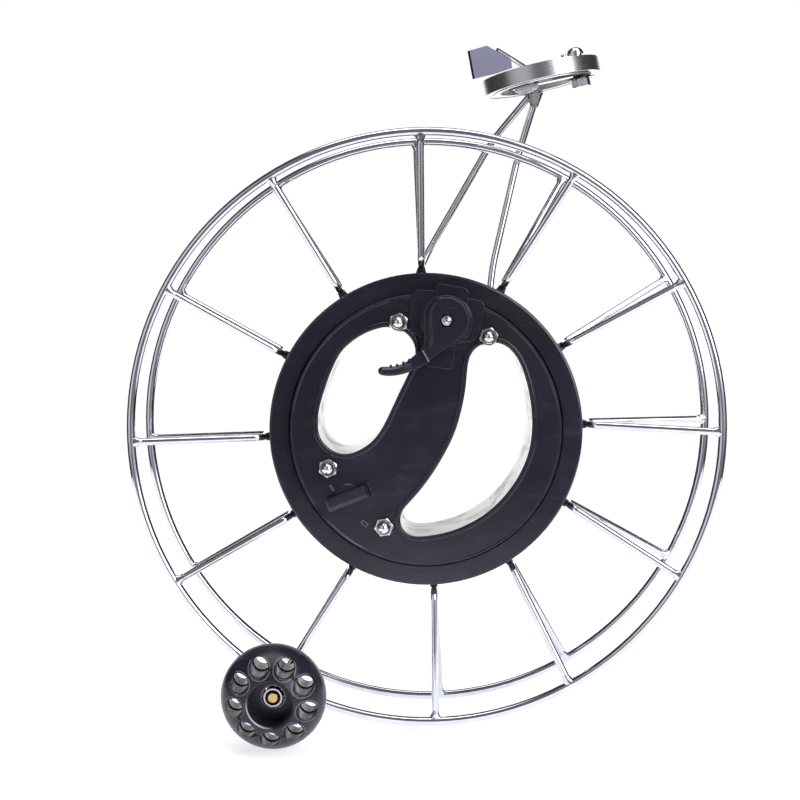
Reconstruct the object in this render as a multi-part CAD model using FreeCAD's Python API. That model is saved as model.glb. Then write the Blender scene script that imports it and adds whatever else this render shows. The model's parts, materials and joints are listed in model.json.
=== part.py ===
import FreeCAD, Part
import math
import os

# Hand-held kite line reel.
# Frame: the wheel axis is Y, the side with the brake lever faces -Y, Z is up.
# Origin: on the wheel axis, in the middle of the hub and of the grip bar.
# Units: millimetres.

os.makedirs("parts", exist_ok=True)
V = FreeCAD.Vector

# ---------------------------------------------------------------- dimensions
# wheel rim
RIM_R = 177.5            # centre line radius of both rings
RIM_ROD_R = 2.6          # rod radius of the rings
RIM_FRONT_Y = -21.0
RIM_BACK_Y = 41.0
SPOKE_ROD_R = 2.2
SPOKE_BOTTOM_R = 98.9    # radius of the closed end of each U
SPOKE_FRONT_Y = -13.2
SPOKE_BACK_Y = 11.0
SPOKE_BEND_R = 6.0
SPOKE_OUTER_DEG = [-0.3, 30.0, 59.8, 91.1, 121.6, 151.6, 182.5, 211.5, 240.0, 272.0, 299.5, 330.0]
SPOKE_INNER_DEG = [1.5, 31.2, 61.5, 91.6, 121.9, 152.4, 183.2, 213.1, 242.3, 273.0, 302.0, 331.9]
BACK_RING_TWIST_DEG = 1.0

# rotating hub ring
HUB_R = 94.0
HUB_Y = 22.0
HUB_FLANGE_RI = 82.0
DRUM_R = 88.0
NOTCH_R = 91.0
NOTCH_HALF = 5.0
NOTCH_COUNT = 12

# big ring bearing
BRG_RI = 71.5
BRG_RI2 = 76.6
BRG_RO1 = 79.4
BRG_RO = 84.5
BRG_HALF = 5.0
BALL_PITCH_R = 78.0
BALL_R = 3.0
BALL_GROOVE_R = 3.15
BALL_COUNT = 30

# covers
COVER_R = 81.0
COVER_FACE = 27.0
COVER_PLATE = 3.0
BARREL_RI = 68.5
BARREL_R = 76.0
OPEN_WALL = 2.5
LIP_W = 3.2
LIP_H = 1.5
LIP_ROUND = 1.15
FACE_X, FACE_Z = 0.55, 1.83      # the layout of the face is drawn about this point of the wheel
BOLT_XZ = [(-16.1, 64.6), (37.3, 56.0), (-58.1, -22.2), (-24.8, -57.5)]
BOLT_R = 3.0
BOLT_HOLE_R = 3.15
BOSS_R = 6.2

# finger openings, outlines seen from the front (x, z)
LEFT_OPEN = [(-26.4, 59.6), (-33.8, 57.4), (-40.7, 53.9), (-46.0, 50.0), (-50.3, 45.7), (-54.4, 38.9),
             (-58.5, 29.3), (-62.1, 18.4), (-64.3, 9.6), (-64.8, 1.9), (-63.8, -4.9), (-60.0, -10.7),
             (-54.6, -14.5), (-47.7, -15.8), (-40.9, -13.9), (-34.0, -9.5), (-28.6, -3.6), (-23.0, 6.4),
             (-17.4, 18.5), (-11.6, 30.5), (-7.6, 40.0), (-6.8, 47.0), (-9.2, 53.0), (-13.6, 57.2), (-19.8, 59.5)]
RIGHT_OPEN = [(34.0, 49.9), (39.5, 50.7), (46.2, 49.2), (51.7, 44.5), (55.8, 37.7), (58.8, 29.5), (61.3, 18.7),
              (62.7, 7.7), (62.6, -3.2), (60.9, -14.1), (57.4, -23.8), (52.1, -33.4), (45.3, -42.2),
              (37.2, -50.0), (27.9, -56.2), (17.8, -60.9), (7.1, -63.9), (-2.6, -65.2), (-9.2, -64.6),
              (-13.7, -61.3), (-15.6, -55.9), (-14.4, -50.2), (-10.2, -44.8), (-3.9, -37.6), (3.0, -28.3),
              (10.9, -15.3), (16.6, -3.3), (20.7, 10.4), (23.2, 24.0), (24.2, 34.9), (25.8, 42.4), (29.2, 47.3)]
LEFT_OPEN = [(x + FACE_X, z + FACE_Z) for x, z in LEFT_OPEN]
RIGHT_OPEN = [(x + FACE_X, z + FACE_Z) for x, z in RIGHT_OPEN]

# brake
BRAKE_X, BRAKE_Z = 12.3, 65.7
BRAKE_PIVOT_R = math.hypot(BRAKE_X, BRAKE_Z)
BRAKE_DEG = math.degrees(math.atan2(BRAKE_Z, BRAKE_X))
CAM_R = 5.2
CAM_E = 2.4
SHOE_Y0, SHOE_Y1 = -17.0, -9.6
SHOE_INNER = BRAKE_PIVOT_R + CAM_R + 0.12
PAD_R = 86.75
HOUSING_Y = -30.0
LEVER_Y0, LEVER_Y1 = -39.2, -30.15
LEVER_ARM_Y = -35.2              # front of the thin part of the lever

# wheel lock
LOCK_X, LOCK_Z = -46.15, -39.85
LOCK_PIVOT_R = math.hypot(LOCK_X, LOCK_Z)
LOCK_DEG = math.degrees(math.atan2(LOCK_Z, LOCK_X))
LOCK_E = 2.83
LOCK_PIN_R = 2.5
LOCK_TIP_R = 86.5
LOCK_BAR_DEG = 21.0
LOCK_BAR_L, LOCK_BAR_W = 26.0, 8.0

# winding knob
KNOB_X, KNOB_Z = RIM_R * math.cos(math.radians(240.0)), RIM_R * math.sin(math.radians(240.0))
KNOB_R = 31.0
KNOB_MID_Y = -54.0
KNOB_FRONT_D = 24.5
KNOB_REAR_D = 19.5
KNOB_HOLES = 9
KNOB_HOLE_R = 5.5
KNOB_REAR_HOLE_R = 4.9
KNOB_HOLE_PITCH_R = 21.5
KNOB_HOLE_DEG = -12.0
KNOB_RECESS_R = 13.0
KNOB_FLOOR_Y = -57.6

# line guide
GUIDE = V(69.93, 10.0, 213.2)
GUIDE_TILT = 12.1
GUIDE_R = 36.0
GUIDE_HALF = 4.5
GUIDE_BALL_PITCH = 31.8
GUIDE_BALL_R = 2.3
GUIDE_BALLS = 20
ARM_ROD_R = 2.15
ARM_Y = 47.6
EYELET_X = -9.9
EYELET_R = 3.4
STRAP_BOLT_X = 23.2


# ------------------------------------------------------------------- helpers
def save(shape, name):
    shape.exportStep("parts/" + name + ".step")


def cyl_y(x, z, r, y0, y1):
    return Part.makeCylinder(r, y1 - y0, V(x, y0, z), V(0, 1, 0))


def ring_y(x, z, ri, ro, y0, y1):
    return cyl_y(x, z, ro, y0, y1).cut(cyl_y(x, z, ri, y0 - 1, y1 + 1))


def revolve_y(profile, x=0.0, z=0.0):
    pts = [V(r, y, 0) for r, y in profile]
    face = Part.Face(Part.makePolygon(pts + [pts[0]]))
    solid = face.revolve(V(0, 0, 0), V(0, 1, 0), 360)
    solid.translate(V(x, 0, z))
    return solid


def prism_y(points, y0, y1):
    pts = [V(x, y0, z) for x, z in points]
    return Part.Face(Part.makePolygon(pts + [pts[0]])).extrude(V(0, y1 - y0, 0))


def hexagon(af, a0=0.0):
    r = af / math.sqrt(3.0)
    return [(r * math.cos(math.radians(a0 + 60 * i)), r * math.sin(math.radians(a0 + 60 * i))) for i in range(6)]


def hex_y(x, z, af, y0, y1, a0=0.0):
    return prism_y([(x + p, z + q) for p, q in hexagon(af, a0)], y0, y1)


def rounded_polygon(points, radius, y0, y1):
    """Extruded polygon whose corners are rounded by radius, or one radius per corner."""
    n = len(points)
    edges = []
    starts = []
    for i in range(n):
        p = V(points[i][0], y0, points[i][1])
        a = V(points[i - 1][0], y0, points[i - 1][1])
        b = V(points[(i + 1) % n][0], y0, points[(i + 1) % n][1])
        r = radius[i] if isinstance(radius, (list, tuple)) else radius
        u = (a - p).normalize()
        w = (b - p).normalize()
        half = 0.5 * math.acos(max(-1.0, min(1.0, u.dot(w))))
        t = r / math.tan(half)
        m = (u + w).normalize()
        c = p + m * (r / math.sin(half))
        starts.append((p + u * t, c - m * r, p + w * t))
    for i in range(n):
        s, mid, e = starts[i]
        edges.append(Part.Arc(s, mid, e).toShape())
        nxt = starts[(i + 1) % n][0]
        if e.distanceToPoint(nxt) > 1e-6:
            edges.append(Part.LineSegment(e, nxt).toShape())
    return Part.Face(Part.Wire(edges)).extrude(V(0, y1 - y0, 0))


def loop_points(points, offset=0.0, count=64):
    """Smooth closed curve through the points, moved outwards by offset."""
    curve = Part.BSplineCurve()
    curve.interpolate([V(x, 0, z) for x, z in points], PeriodicFlag=True)
    t0, t1 = curve.FirstParameter, curve.LastParameter
    area = 0.0
    for i in range(len(points)):
        x0, z0 = points[i - 1]
        x1, z1 = points[i]
        area += x0 * z1 - x1 * z0
    side = 1.0 if area > 0 else -1.0
    out = []
    for i in range(count):
        t = t0 + (t1 - t0) * i / count
        p = curve.value(t)
        d = curve.tangent(t)[0]
        out.append((p.x + side * offset * d.z, p.z - side * offset * d.x))
    return out


def loop_solid(points, y0, y1, offset=0.0, count=64):
    curve = Part.BSplineCurve()
    curve.interpolate([V(x, y0, z) for x, z in loop_points(points, offset, count)], PeriodicFlag=True)
    return Part.Face(Part.Wire([curve.toShape()])).extrude(V(0, y1 - y0, 0))


def soften(solid, radius, y):
    """Rounds every edge that lies in the plane Y = y."""
    edges = [e for e in solid.Edges
             if abs(e.BoundBox.YMin - y) < 0.02 and abs(e.BoundBox.YMax - y) < 0.02]
    return solid.makeFillet(radius, edges)


def rod(points, radius, bends):
    """Round bar along straight runs joined by tangent arcs."""
    pts = [V(*p) for p in points]
    edges = []
    at = pts[0]
    for i in range(1, len(pts) - 1):
        u = (pts[i - 1] - pts[i]).normalize()
        w = (pts[i + 1] - pts[i]).normalize()
        half = 0.5 * math.acos(max(-1.0, min(1.0, u.dot(w))))
        r = bends[i - 1] if isinstance(bends, (list, tuple)) else bends
        t = r / math.tan(half)
        s, e = pts[i] + u * t, pts[i] + w * t
        m = (u + w).normalize()
        mid = pts[i] + m * (r / math.sin(half) - r)
        edges.append(Part.LineSegment(at, s).toShape())
        edges.append(Part.Arc(s, mid, e).toShape())
        at = e
    edges.append(Part.LineSegment(at, pts[-1]).toShape())
    path = Part.Wire(edges)
    section = Part.Wire([Part.Circle(pts[0], pts[1] - pts[0], radius).toShape()])
    return path.makePipeShell([section], True, False)


def turn(shape, deg, x=0.0, z=0.0):
    """Anticlockwise seen from the front."""
    s = shape.copy()
    s.rotate(V(x, 0, z), V(0, -1, 0), deg)
    return s


def to_guide(shape):
    s = shape.copy()
    s.rotate(V(0, 0, 0), V(0, -1, 0), GUIDE_TILT)
    s.translate(GUIDE)
    return s


def ring_z(ri, ro, z0, z1, x=0.0, y=0.0):
    return Part.makeCylinder(ro, z1 - z0, V(x, y, z0)).cut(Part.makeCylinder(ri, z1 - z0 + 2, V(x, y, z0 - 1)))


def torus_y(big, small, y, x=0.0, z=0.0):
    return Part.makeTorus(big, small, V(x, y, z), V(0, 1, 0))


def fuse(*shapes):
    s = shapes[0]
    if len(shapes) > 1:
        s = s.multiFuse(list(shapes[1:]))
    return s.removeSplitter()


def polar(r, deg):
    a = math.radians(deg)
    return (r * math.cos(a), r * math.sin(a))


# ------------------------------------------------------- wheel rim and spokes
front_ring = torus_y(RIM_R, RIM_ROD_R, RIM_FRONT_Y)
back_ring = torus_y(RIM_R, RIM_ROD_R, RIM_BACK_Y)
save(front_ring, "front_ring")
save(back_ring, "back_ring")

post_full = cyl_y(KNOB_X, KNOB_Z, 6.0, -33.0, -17.5)
spokes = []
spoke_rods = []
for outer, inner in zip(SPOKE_OUTER_DEG, SPOKE_INNER_DEG):
    ox, oz = polar(RIM_R, outer)
    bx, bz = polar(RIM_R, outer + BACK_RING_TWIST_DEG)
    ix, iz = polar(SPOKE_BOTTOM_R, inner)
    bar = rod([(ox, RIM_FRONT_Y, oz), (ix, SPOKE_FRONT_Y, iz), (ix, SPOKE_BACK_Y, iz), (bx, RIM_BACK_Y, bz)],
              SPOKE_ROD_R, SPOKE_BEND_R)
    spoke_rods.append(bar)
    cutters = [front_ring, back_ring]
    if abs(outer - 240.0) < 1.0:
        cutters.append(post_full)
    spokes.append(bar.cut(cutters))
save(Part.makeCompound([max(s.Solids, key=lambda k: k.Volume) for s in spokes]), "spokes")

# -------------------------------------------------------------- hub ring
hub = revolve_y([(HUB_FLANGE_RI, -21.4), (HUB_FLANGE_RI + 0.6, -22.0), (HUB_R - 1.4, -22.0), (HUB_R - 0.4, -21.6),
                 (HUB_R, -20.6), (HUB_R, 20.6), (HUB_R - 0.4, 21.6), (HUB_R - 1.4, 22.0), (86.6, 22.0), (86.0, 21.4),
                 (86.0, 9.0), (BRG_RO, 9.0), (BRG_RO, -BRG_HALF), (HUB_FLANGE_RI, -BRG_HALF), (HUB_FLANGE_RI, -8.0),
                 (DRUM_R, -8.0), (DRUM_R, -19.0), (HUB_FLANGE_RI, -19.0)])
notches = []
for i in range(NOTCH_COUNT):
    box = Part.makeBox(NOTCH_R - 80.0, 9.4, 2 * NOTCH_HALF, V(80.0, -18.2, -NOTCH_HALF))
    notches.append(turn(box, LOCK_DEG + 360.0 * i / NOTCH_COUNT))
notch_cut = Part.makeCompound(notches).common(ring_y(0, 0, DRUM_R - 0.5, NOTCH_R, -18.2, -8.8))
hub = hub.cut(notch_cut)
lugs = []
for inner, bar in zip(SPOKE_INNER_DEG, spoke_rods):
    def quad(x, hy, hz):
        return Part.Wire(Part.makePolygon([V(x, -1.1 - hy, -hz), V(x, -1.1 + hy, -hz), V(x, -1.1 + hy, hz),
                                           V(x, -1.1 - hy, hz), V(x, -1.1 - hy, -hz)]))
    lug = Part.makeLoft([quad(HUB_R - 1.5, 7.0, 3.4), quad(HUB_R + 1.6, 6.2, 2.5), quad(98.4, 5.4, 2.05)], True, True)
    lug = turn(lug, inner)
    groove = turn(cyl_y(SPOKE_BOTTOM_R, 0, SPOKE_ROD_R + 0.02, -12, 10), inner)
    mouth = turn(Part.makeBox(6.0, 30.0, 2 * 1.85, V(SPOKE_BOTTOM_R, -15.0, -1.85)), inner)
    lugs.append(lug.cut([groove, mouth]))
hub = fuse(hub, *lugs)
save(hub, "hub_ring")
save(revolve_y([(81.5, 5.0), (84.5, 5.0), (84.5, 9.0), (81.5, 9.0)]), "bearing_retainer")

# ---------------------------------------------------------- ring bearing
groove = torus_y(BALL_PITCH_R, BALL_GROOVE_R, 0.0)
save(ring_y(0, 0, BRG_RI, BRG_RI2, -BRG_HALF, BRG_HALF).cut(groove), "bearing_inner_race")
save(ring_y(0, 0, BRG_RO1, BRG_RO, -BRG_HALF, BRG_HALF).cut(groove), "bearing_outer_race")
balls, pockets = [], []
for i in range(BALL_COUNT):
    x, z = polar(BALL_PITCH_R, 360.0 * i / BALL_COUNT)
    balls.append(Part.makeSphere(BALL_R, V(x, 0, z)))
    pockets.append(Part.makeSphere(BALL_R + 0.2, V(x, 0, z)))
save(Part.makeCompound(balls), "bearing_balls")
save(ring_y(0, 0, 77.2, 78.8, -4.3, 4.3).cut(Part.makeCompound(pockets)), "bearing_cage")

# ----------------------------------------------------------------- covers
left_cut = loop_solid(LEFT_OPEN, -45.0, 45.0)
right_cut = loop_solid(RIGHT_OPEN, -45.0, 45.0)
y_in = COVER_FACE - COVER_PLATE


def half_cover(sign, plate_r):
    """One cover half: face plate, barrel, finger opening walls, lips and bolt bosses."""
    def span(a, b):
        return (min(sign * a, sign * b), max(sign * a, sign * b))
    plate = revolve_y([(0, sign * y_in), (plate_r, sign * y_in), (plate_r, sign * (COVER_FACE - 0.2)),
                       (plate_r - 0.35, sign * (COVER_FACE + 0.45)), (plate_r - 1.0, sign * (COVER_FACE + 0.45)),
                       (plate_r - 1.6, sign * COVER_FACE), (0, sign * COVER_FACE)])
    barrel = ring_y(0, 0, BARREL_RI, BARREL_R, *span(BRG_HALF, y_in + 1))
    seat = ring_y(0, 0, BARREL_RI, BRG_RI, *span(0, BRG_HALF + 1))
    parts = [plate, barrel, seat]
    for outline in (LEFT_OPEN, RIGHT_OPEN):
        parts.append(loop_solid(outline, *span(0, y_in + 1), offset=OPEN_WALL))
    for x, z in BOLT_XZ:
        parts.append(cyl_y(x, z, BOSS_R, *span(0, y_in + 1)))
    body = fuse(*parts)
    keep = cyl_y(0, 0, BARREL_R, *span(0, y_in))
    inside = body.common(keep.fuse(cyl_y(0, 0, plate_r + 1, *span(y_in, 40))))
    seat_trim = ring_y(0, 0, BRG_RI, BARREL_R + 1, *span(-1, BRG_HALF))
    holes = [cyl_y(x, z, BOLT_HOLE_R, *span(-1, 40)) for x, z in BOLT_XZ]
    return inside.cut([left_cut, right_cut, seat_trim] + holes)


def lips(sign):
    """Rounded rings that stand on the face round both finger openings."""
    y0, y1 = sign * COVER_FACE, sign * (COVER_FACE + LIP_H)
    rings = []
    for outline in (LEFT_OPEN, RIGHT_OPEN):
        ring = loop_solid(outline, y1, y0, offset=LIP_W).cut(loop_solid(outline, sign * 45.0, 0.0))
        rings.append(soften(ring, LIP_ROUND, y1))
    return rings


def raised(corners, radii, y):
    """Low step of the front face with softened edges."""
    return soften(rounded_polygon([(x + FACE_X, z + FACE_Z) for x, z in corners], radii, y, -25.5), 0.55, y)


front = half_cover(-1, COVER_R)
# raised brake housing on the front face, drawn as low steps
top_bump = raised([(5.2, 75.0), (5.5, 84.8), (7.0, 86.0), (22.6, 83.2), (25.3, 80.6), (24.0, 74.0)],
                  [0.8, 0.8, 0.8, 1.8, 1.5, 0.8], HOUSING_Y)
left_block = raised([(-9.4, 79.0), (-5.8, 82.1), (6.5, 81.6), (7.0, 58.0), (-2.2, 53.6), (-9.8, 57.0)],
                    [1.4, 1.2, 1.0, 1.0, 1.6, 1.6], -28.8)
right_block = raised([(20.5, 77.8), (33.0, 75.6), (34.3, 72.8), (30.9, 55.3), (27.4, 51.4), (19.0, 50.4), (14.0, 60.0)],
                     [1.0, 1.4, 1.0, 2.0, 1.4, 1.0, 1.0], -29.4)
low_block = raised([(17.4, 53.0), (15.7, 36.9), (13.9, 34.6), (0.2, 36.6), (-4.2, 47.5), (4.0, 58.0)],
                   [1.0, 1.2, 1.2, 1.6, 1.2, 1.0], -28.8)
seat_disc = soften(cyl_y(BRAKE_X, BRAKE_Z, 15.4, HOUSING_Y, -25.5), 0.5, HOUSING_Y)
lock_base = revolve_y([(0, -25.5), (7.9, -25.5), (7.9, -27.7), (7.5, -28.1), (0, -28.1)], LOCK_X, LOCK_Z)
stop_rib = turn(Part.makeBox(0.7, 2.2, 8.4, V(13.7, -27.7, -4.6)), LOCK_BAR_DEG)
stop_rib.translate(V(LOCK_X, 0, LOCK_Z))
rails = [turn(Part.makeBox(13.0, 12.5, 2.0, V(LOCK_PIVOT_R - 7.5, -24.5, z0)), LOCK_DEG) for z0 in (8.9, -10.9)]
front = fuse(front, top_bump, left_block, right_block, low_block, seat_disc, lock_base, stop_rib, *rails)
front = fuse(front.cut([left_cut, right_cut]), *lips(-1))
cuts = []
cuts.append(cyl_y(BRAKE_X, BRAKE_Z, 6.03, -31.0, -23.0))
cuts.append(cyl_y(BRAKE_X, BRAKE_Z, 8.3, -24.0, -5.0))
cuts.append(cyl_y(BRAKE_X, BRAKE_Z, 3.8, -5.5, -1.5))
cuts.append(turn(Part.makeBox(14.0, SHOE_Y1 - SHOE_Y0 + 0.6, 16.8, V(66.0, SHOE_Y0 - 0.3, -8.4)), BRAKE_DEG))
cuts.append(cyl_y(LOCK_X, LOCK_Z, 6.03, -31.0, -23.0))
cuts.append(cyl_y(LOCK_X, LOCK_Z, 8.2, -24.0, -16.0))
cuts.append(turn(Part.makeBox(12.0, 8.0, 9.6, V(66.0, -17.4, -4.8)), LOCK_DEG))
cuts.append(turn(Part.makeBox(5.2, 8.0, 17.8, V(64.6, -17.4, -8.9)), LOCK_DEG))
for x, z in BOLT_XZ:
    cuts.append(cyl_y(x, z, 6.3, -45.0, -COVER_FACE))
front = front.cut(cuts)
front_solid = max(front.Solids, key=lambda k: k.Volume)
save(front_solid, "front_cover")

back = fuse(half_cover(1, 85.4), *lips(1))
back = back.cut([cyl_y(x, z, 7.6, COVER_FACE, 45.0) for x, z in BOLT_XZ])
save(max(back.Solids, key=lambda k: k.Volume), "back_cover")

# ------------------------------------------------- clamp bolts, nuts, washers
bolts, nuts, washers = [], [], []
for i, (x, z) in enumerate(BOLT_XZ):
    seat_y = COVER_FACE + 1.2 + (4.4 if i < 2 else 0.0)
    head = hex_y(x, z, 10.0, seat_y, seat_y + 4.0, 12.0 * i)
    head = head.common(revolve_y([(0, seat_y - 1), (5.9, seat_y - 1), (5.9, seat_y + 3.2), (4.8, seat_y + 4.0),
                                  (0, seat_y + 4.0)], x, z))
    bolts.append(fuse(cyl_y(x, z, BOLT_R, -33.0, seat_y + 0.5), head))
    washers.append(ring_y(x, z, BOLT_HOLE_R + 0.05, 6.4, COVER_FACE, COVER_FACE + 1.2))
    hexa = hex_y(x, z, 10.0, -31.4, -COVER_FACE, (22.0, 12.0, 25.0, 8.0)[i])
    hexa = hexa.common(revolve_y([(0, -27.0), (5.2, -27.0), (5.85, -27.6), (5.85, -30.9), (5.0, -31.4), (0, -31.4)], x, z))
    dome = revolve_y([(0, -31.2), (4.1, -31.2), (4.1, -33.0), (3.95, -34.2), (3.5, -35.5), (2.8, -36.5), (1.9, -37.2),
                      (0.9, -37.6), (0, -37.7)], x, z)
    nuts.append(fuse(hexa, dome).cut(cyl_y(x, z, BOLT_R + 0.03, -34.0, -20.0)))
save(Part.makeCompound(bolts), "clamp_bolts")
save(Part.makeCompound(nuts), "acorn_nuts")
save(Part.makeCompound(washers), "clamp_washers")

# ------------------------------------------------------------------ brake
lever_outline = [(-2.5, 49.1), (-4.5, 47.0), (-6.9, 45.0), (-9.9, 42.5), (-12.3, 40.9), (-15.6, 39.5), (-19.8, 38.6),
                 (-24.1, 38.5), (-26.3, 38.3), (-27.7, 37.3), (-28.1, 35.8), (-27.3, 34.2), (-25.2, 33.4), (-21.1, 33.1),
                 (-15.5, 33.7), (-10.3, 35.1), (-6.8, 36.4), (-3.4, 38.0), (-0.3, 39.8), (4.8, 44.0), (10.4, 48.2),
                 (16.0, 51.7), (21.6, 55.4), (25.4, 60.2), (26.9, 66.2), (25.7, 72.3), (21.9, 77.2), (16.3, 80.2),
                 (10.0, 80.6), (4.1, 78.4), (-0.2, 73.8), (-1.7, 68.2), (-1.7, 61.8), (-1.2, 56.8), (-1.2, 53.0)]
body_outline = [(-0.6, 56.5), (-1.0, 60.8), (-1.0, 64.8), (-0.7, 69.0), (0.3, 72.6), (2.3, 75.6), (5.0, 77.9),
                (8.4, 79.3), (12.2, 79.8), (16.0, 79.2), (19.8, 77.1), (22.8, 73.9), (24.7, 70.1), (25.3, 66.2),
                (24.9, 62.4), (23.3, 59.0), (20.6, 55.9), (16.0, 52.5), (10.4, 48.5), (4.9, 44.5), (1.2, 41.9),
                (-3.0, 40.5), (-5.6, 42.2), (-5.2, 45.2), (-2.6, 48.6), (-1.0, 52.0)]
arm = prism_y(loop_points(lever_outline, 0.0, 90), LEVER_ARM_Y, LEVER_Y1)
# thick body over the pivot, ended by a sloped step across the arm
body = fuse(prism_y(loop_points(body_outline, -0.45, 70), LEVER_Y0 + 0.8, LEVER_ARM_Y),
            prism_y(loop_points(body_outline, -1.0, 70), LEVER_Y0, LEVER_Y0 + 0.8))
step_a, step_b = V(-2.3, 0, 48.1), V(1.45, 0, 41.3)
step_d = (step_b - step_a).normalize()
step_n = V(step_d.z, 0, -step_d.x)
beyond = []
for n, y in ((0.0, -42.0), (0.0, LEVER_Y0), (1.3, LEVER_ARM_Y), (1.3, -30.0), (16.0, -30.0), (16.0, -42.0)):
    beyond.append(step_a - step_d * 12.0 + step_n * n + V(0, y, 0))
beyond = Part.Face(Part.makePolygon(beyond + [beyond[0]])).extrude(step_d * 32.0)
body = body.cut(beyond)
body = max(body.Solids, key=lambda k: k.Volume)
# finger pad: a low hump that rises from the neck, ribbed along its upper edge
hump = [(-8.6, LEVER_ARM_Y), (-8.6, -35.35), (-10.0, -35.7), (-12.5, -36.4), (-15.5, -36.9), (-19.0, -37.2),
        (-23.0, -37.2), (-26.0, -36.9), (-30.0, -36.0), (-30.0, LEVER_ARM_Y)]
hump = [V(x, y, 30.0) for x, y in hump]
hump = Part.Face(Part.makePolygon(hump + [hump[0]])).extrude(V(0, 0, 16.0))
pad_top = prism_y(loop_points(lever_outline, -0.4, 90), -38.0, LEVER_ARM_Y + 1.0).common(hump)
teeth = [cyl_y(x, z, 0.85, LEVER_ARM_Y, -31.2) for x, z in ((-9.7, 42.4), (-13.0, 41.0), (-16.8, 39.5), (-20.5, 38.9))]
lever = fuse(fuse(arm, *teeth), body, max(pad_top.Solids, key=lambda k: k.Volume))
lever = lever.cut([hex_y(BRAKE_X, BRAKE_Z, 7.9, -40.0, -34.9, 0.0),
                   cyl_y(BRAKE_X, BRAKE_Z, 2.05, -41, -29),
                   Part.makeBox(7.0, 3.2, 7.0, V(BRAKE_X - 3.5, -33.0, BRAKE_Z - 3.5))])
save(max(lever.Solids, key=lambda k: k.Volume), "brake_lever")

side = math.radians(BRAKE_DEG - 90.0)
cam_x = BRAKE_X + CAM_E * math.cos(side)
cam_z = BRAKE_Z + CAM_E * math.sin(side)
cam = fuse(Part.makeBox(6.96, 3.0, 6.96, V(BRAKE_X - 3.48, -33.0, BRAKE_Z - 3.48)),
           cyl_y(BRAKE_X, BRAKE_Z, 5.98, -30.15, -23.8), cyl_y(BRAKE_X, BRAKE_Z, 7.6, -23.8, -22.0),
           cyl_y(BRAKE_X, BRAKE_Z, 4.6, -22.1, -16.9), cyl_y(cam_x, cam_z, CAM_R, SHOE_Y0, SHOE_Y1),
           cyl_y(BRAKE_X, BRAKE_Z, 4.0, -9.7, -5.0))
save(cam.cut(cyl_y(BRAKE_X, BRAKE_Z, 2.05, -40, 0)), "brake_cam")
bolt_end = revolve_y([(0, -30.0), (2.0, -30.0), (2.0, -38.3), (1.7, -38.8), (0.9, -39.0), (0, -39.05)], BRAKE_X, BRAKE_Z)
save(fuse(bolt_end, cyl_y(BRAKE_X, BRAKE_Z, 2.0, -31.0, -4.8), cyl_y(BRAKE_X, BRAKE_Z, 3.3, -5.0, -2.4)), "brake_pivot_bolt")
# lock nut: hexagon below, round domed collar above
pn = hex_y(BRAKE_X, BRAKE_Z, 7.0, -36.6, -34.9, 0.0)
pn = fuse(pn, revolve_y([(0, -36.5), (3.45, -36.5), (3.45, -37.4), (3.2, -37.95), (2.7, -38.3), (2.3, -38.4), (0, -38.4)],
                        BRAKE_X, BRAKE_Z))
save(pn.cut(cyl_y(BRAKE_X, BRAKE_Z, 2.03, -40, -30)), "brake_pivot_nut")

# hairpin spring round the rear journal of the cam, half a turn with two straight legs
bow = Part.Face(Part.Wire(Part.makeCircle(0.45, V(5.3, 0, 0), V(0, 0, 1)))).revolve(V(0, 0, 0), V(0, 1, 0), -180)
spring = fuse(bow, Part.makeCylinder(0.45, 4.0, V(5.3, 0, 0), V(0, 0, -1)), Part.makeCylinder(0.45, 4.0, V(-5.3, 0, 0), V(0, 0, -1)))
spring.translate(V(BRAKE_X, -6.45, BRAKE_Z))
save(spring.Solids[0], "brake_return_spring")


def sector(ri, ro, half_deg, y0, y1, deg):
    pts = []
    a0, a1 = math.radians(-half_deg), math.radians(half_deg)
    p = lambda r, a: V(r * math.cos(a), y0, r * math.sin(a))
    w = Part.Wire([Part.Arc(p(ri, a0), p(ri, 0), p(ri, a1)).toShape(), Part.LineSegment(p(ri, a1), p(ro, a1)).toShape(),
                   Part.Arc(p(ro, a1), p(ro, 0), p(ro, a0)).toShape(), Part.LineSegment(p(ro, a0), p(ri, a0)).toShape()])
    return turn(Part.Face(w).extrude(V(0, y1 - y0, 0)), deg)


stem = turn(Part.makeBox(81.5 - SHOE_INNER, SHOE_Y1 - SHOE_Y0, 15.8, V(SHOE_INNER, SHOE_Y0, -7.9)), BRAKE_DEG)
save(fuse(stem, sector(79.9, 84.4, 13.0, SHOE_Y0, SHOE_Y1, BRAKE_DEG)), "brake_shoe")
save(sector(84.4, PAD_R, 12.4, SHOE_Y0 + 0.3, SHOE_Y1 - 0.3, BRAKE_DEG), "brake_pad")

# ------------------------------------------------------------- wheel lock
half_l, half_w = LOCK_BAR_L / 2, LOCK_BAR_W / 2
bar_long = [V(x, y, -half_w - 1) for x, y in ((-half_l, -28.2), (-half_l, -36.8), (-half_l + 0.9, -37.6), (half_l - 1.9, -37.6),
                                              (half_l - 0.1, -35.8), (half_l, -28.2))]
bar_cross = [V(-half_l - 1, y, z) for z, y in ((-half_w, -28.2), (-half_w + 0.2, -35.0), (-half_w + 2.7, -37.6),
                                               (half_w - 0.9, -37.6), (half_w, -36.8), (half_w, -28.2))]
bar = Part.Face(Part.makePolygon(bar_long + [bar_long[0]])).extrude(V(0, 0, 2 * half_w + 2))
bar = bar.common(Part.Face(Part.makePolygon(bar_cross + [bar_cross[0]])).extrude(V(2 * half_l + 2, 0, 0)))
bar = bar.makeFillet(0.3, [e for e in bar.Edges if e.BoundBox.YMax < -28.5 or e.BoundBox.YLength > 5])
bar = turn(bar, LOCK_BAR_DEG)
bar.translate(V(LOCK_X, 0, LOCK_Z))
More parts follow.
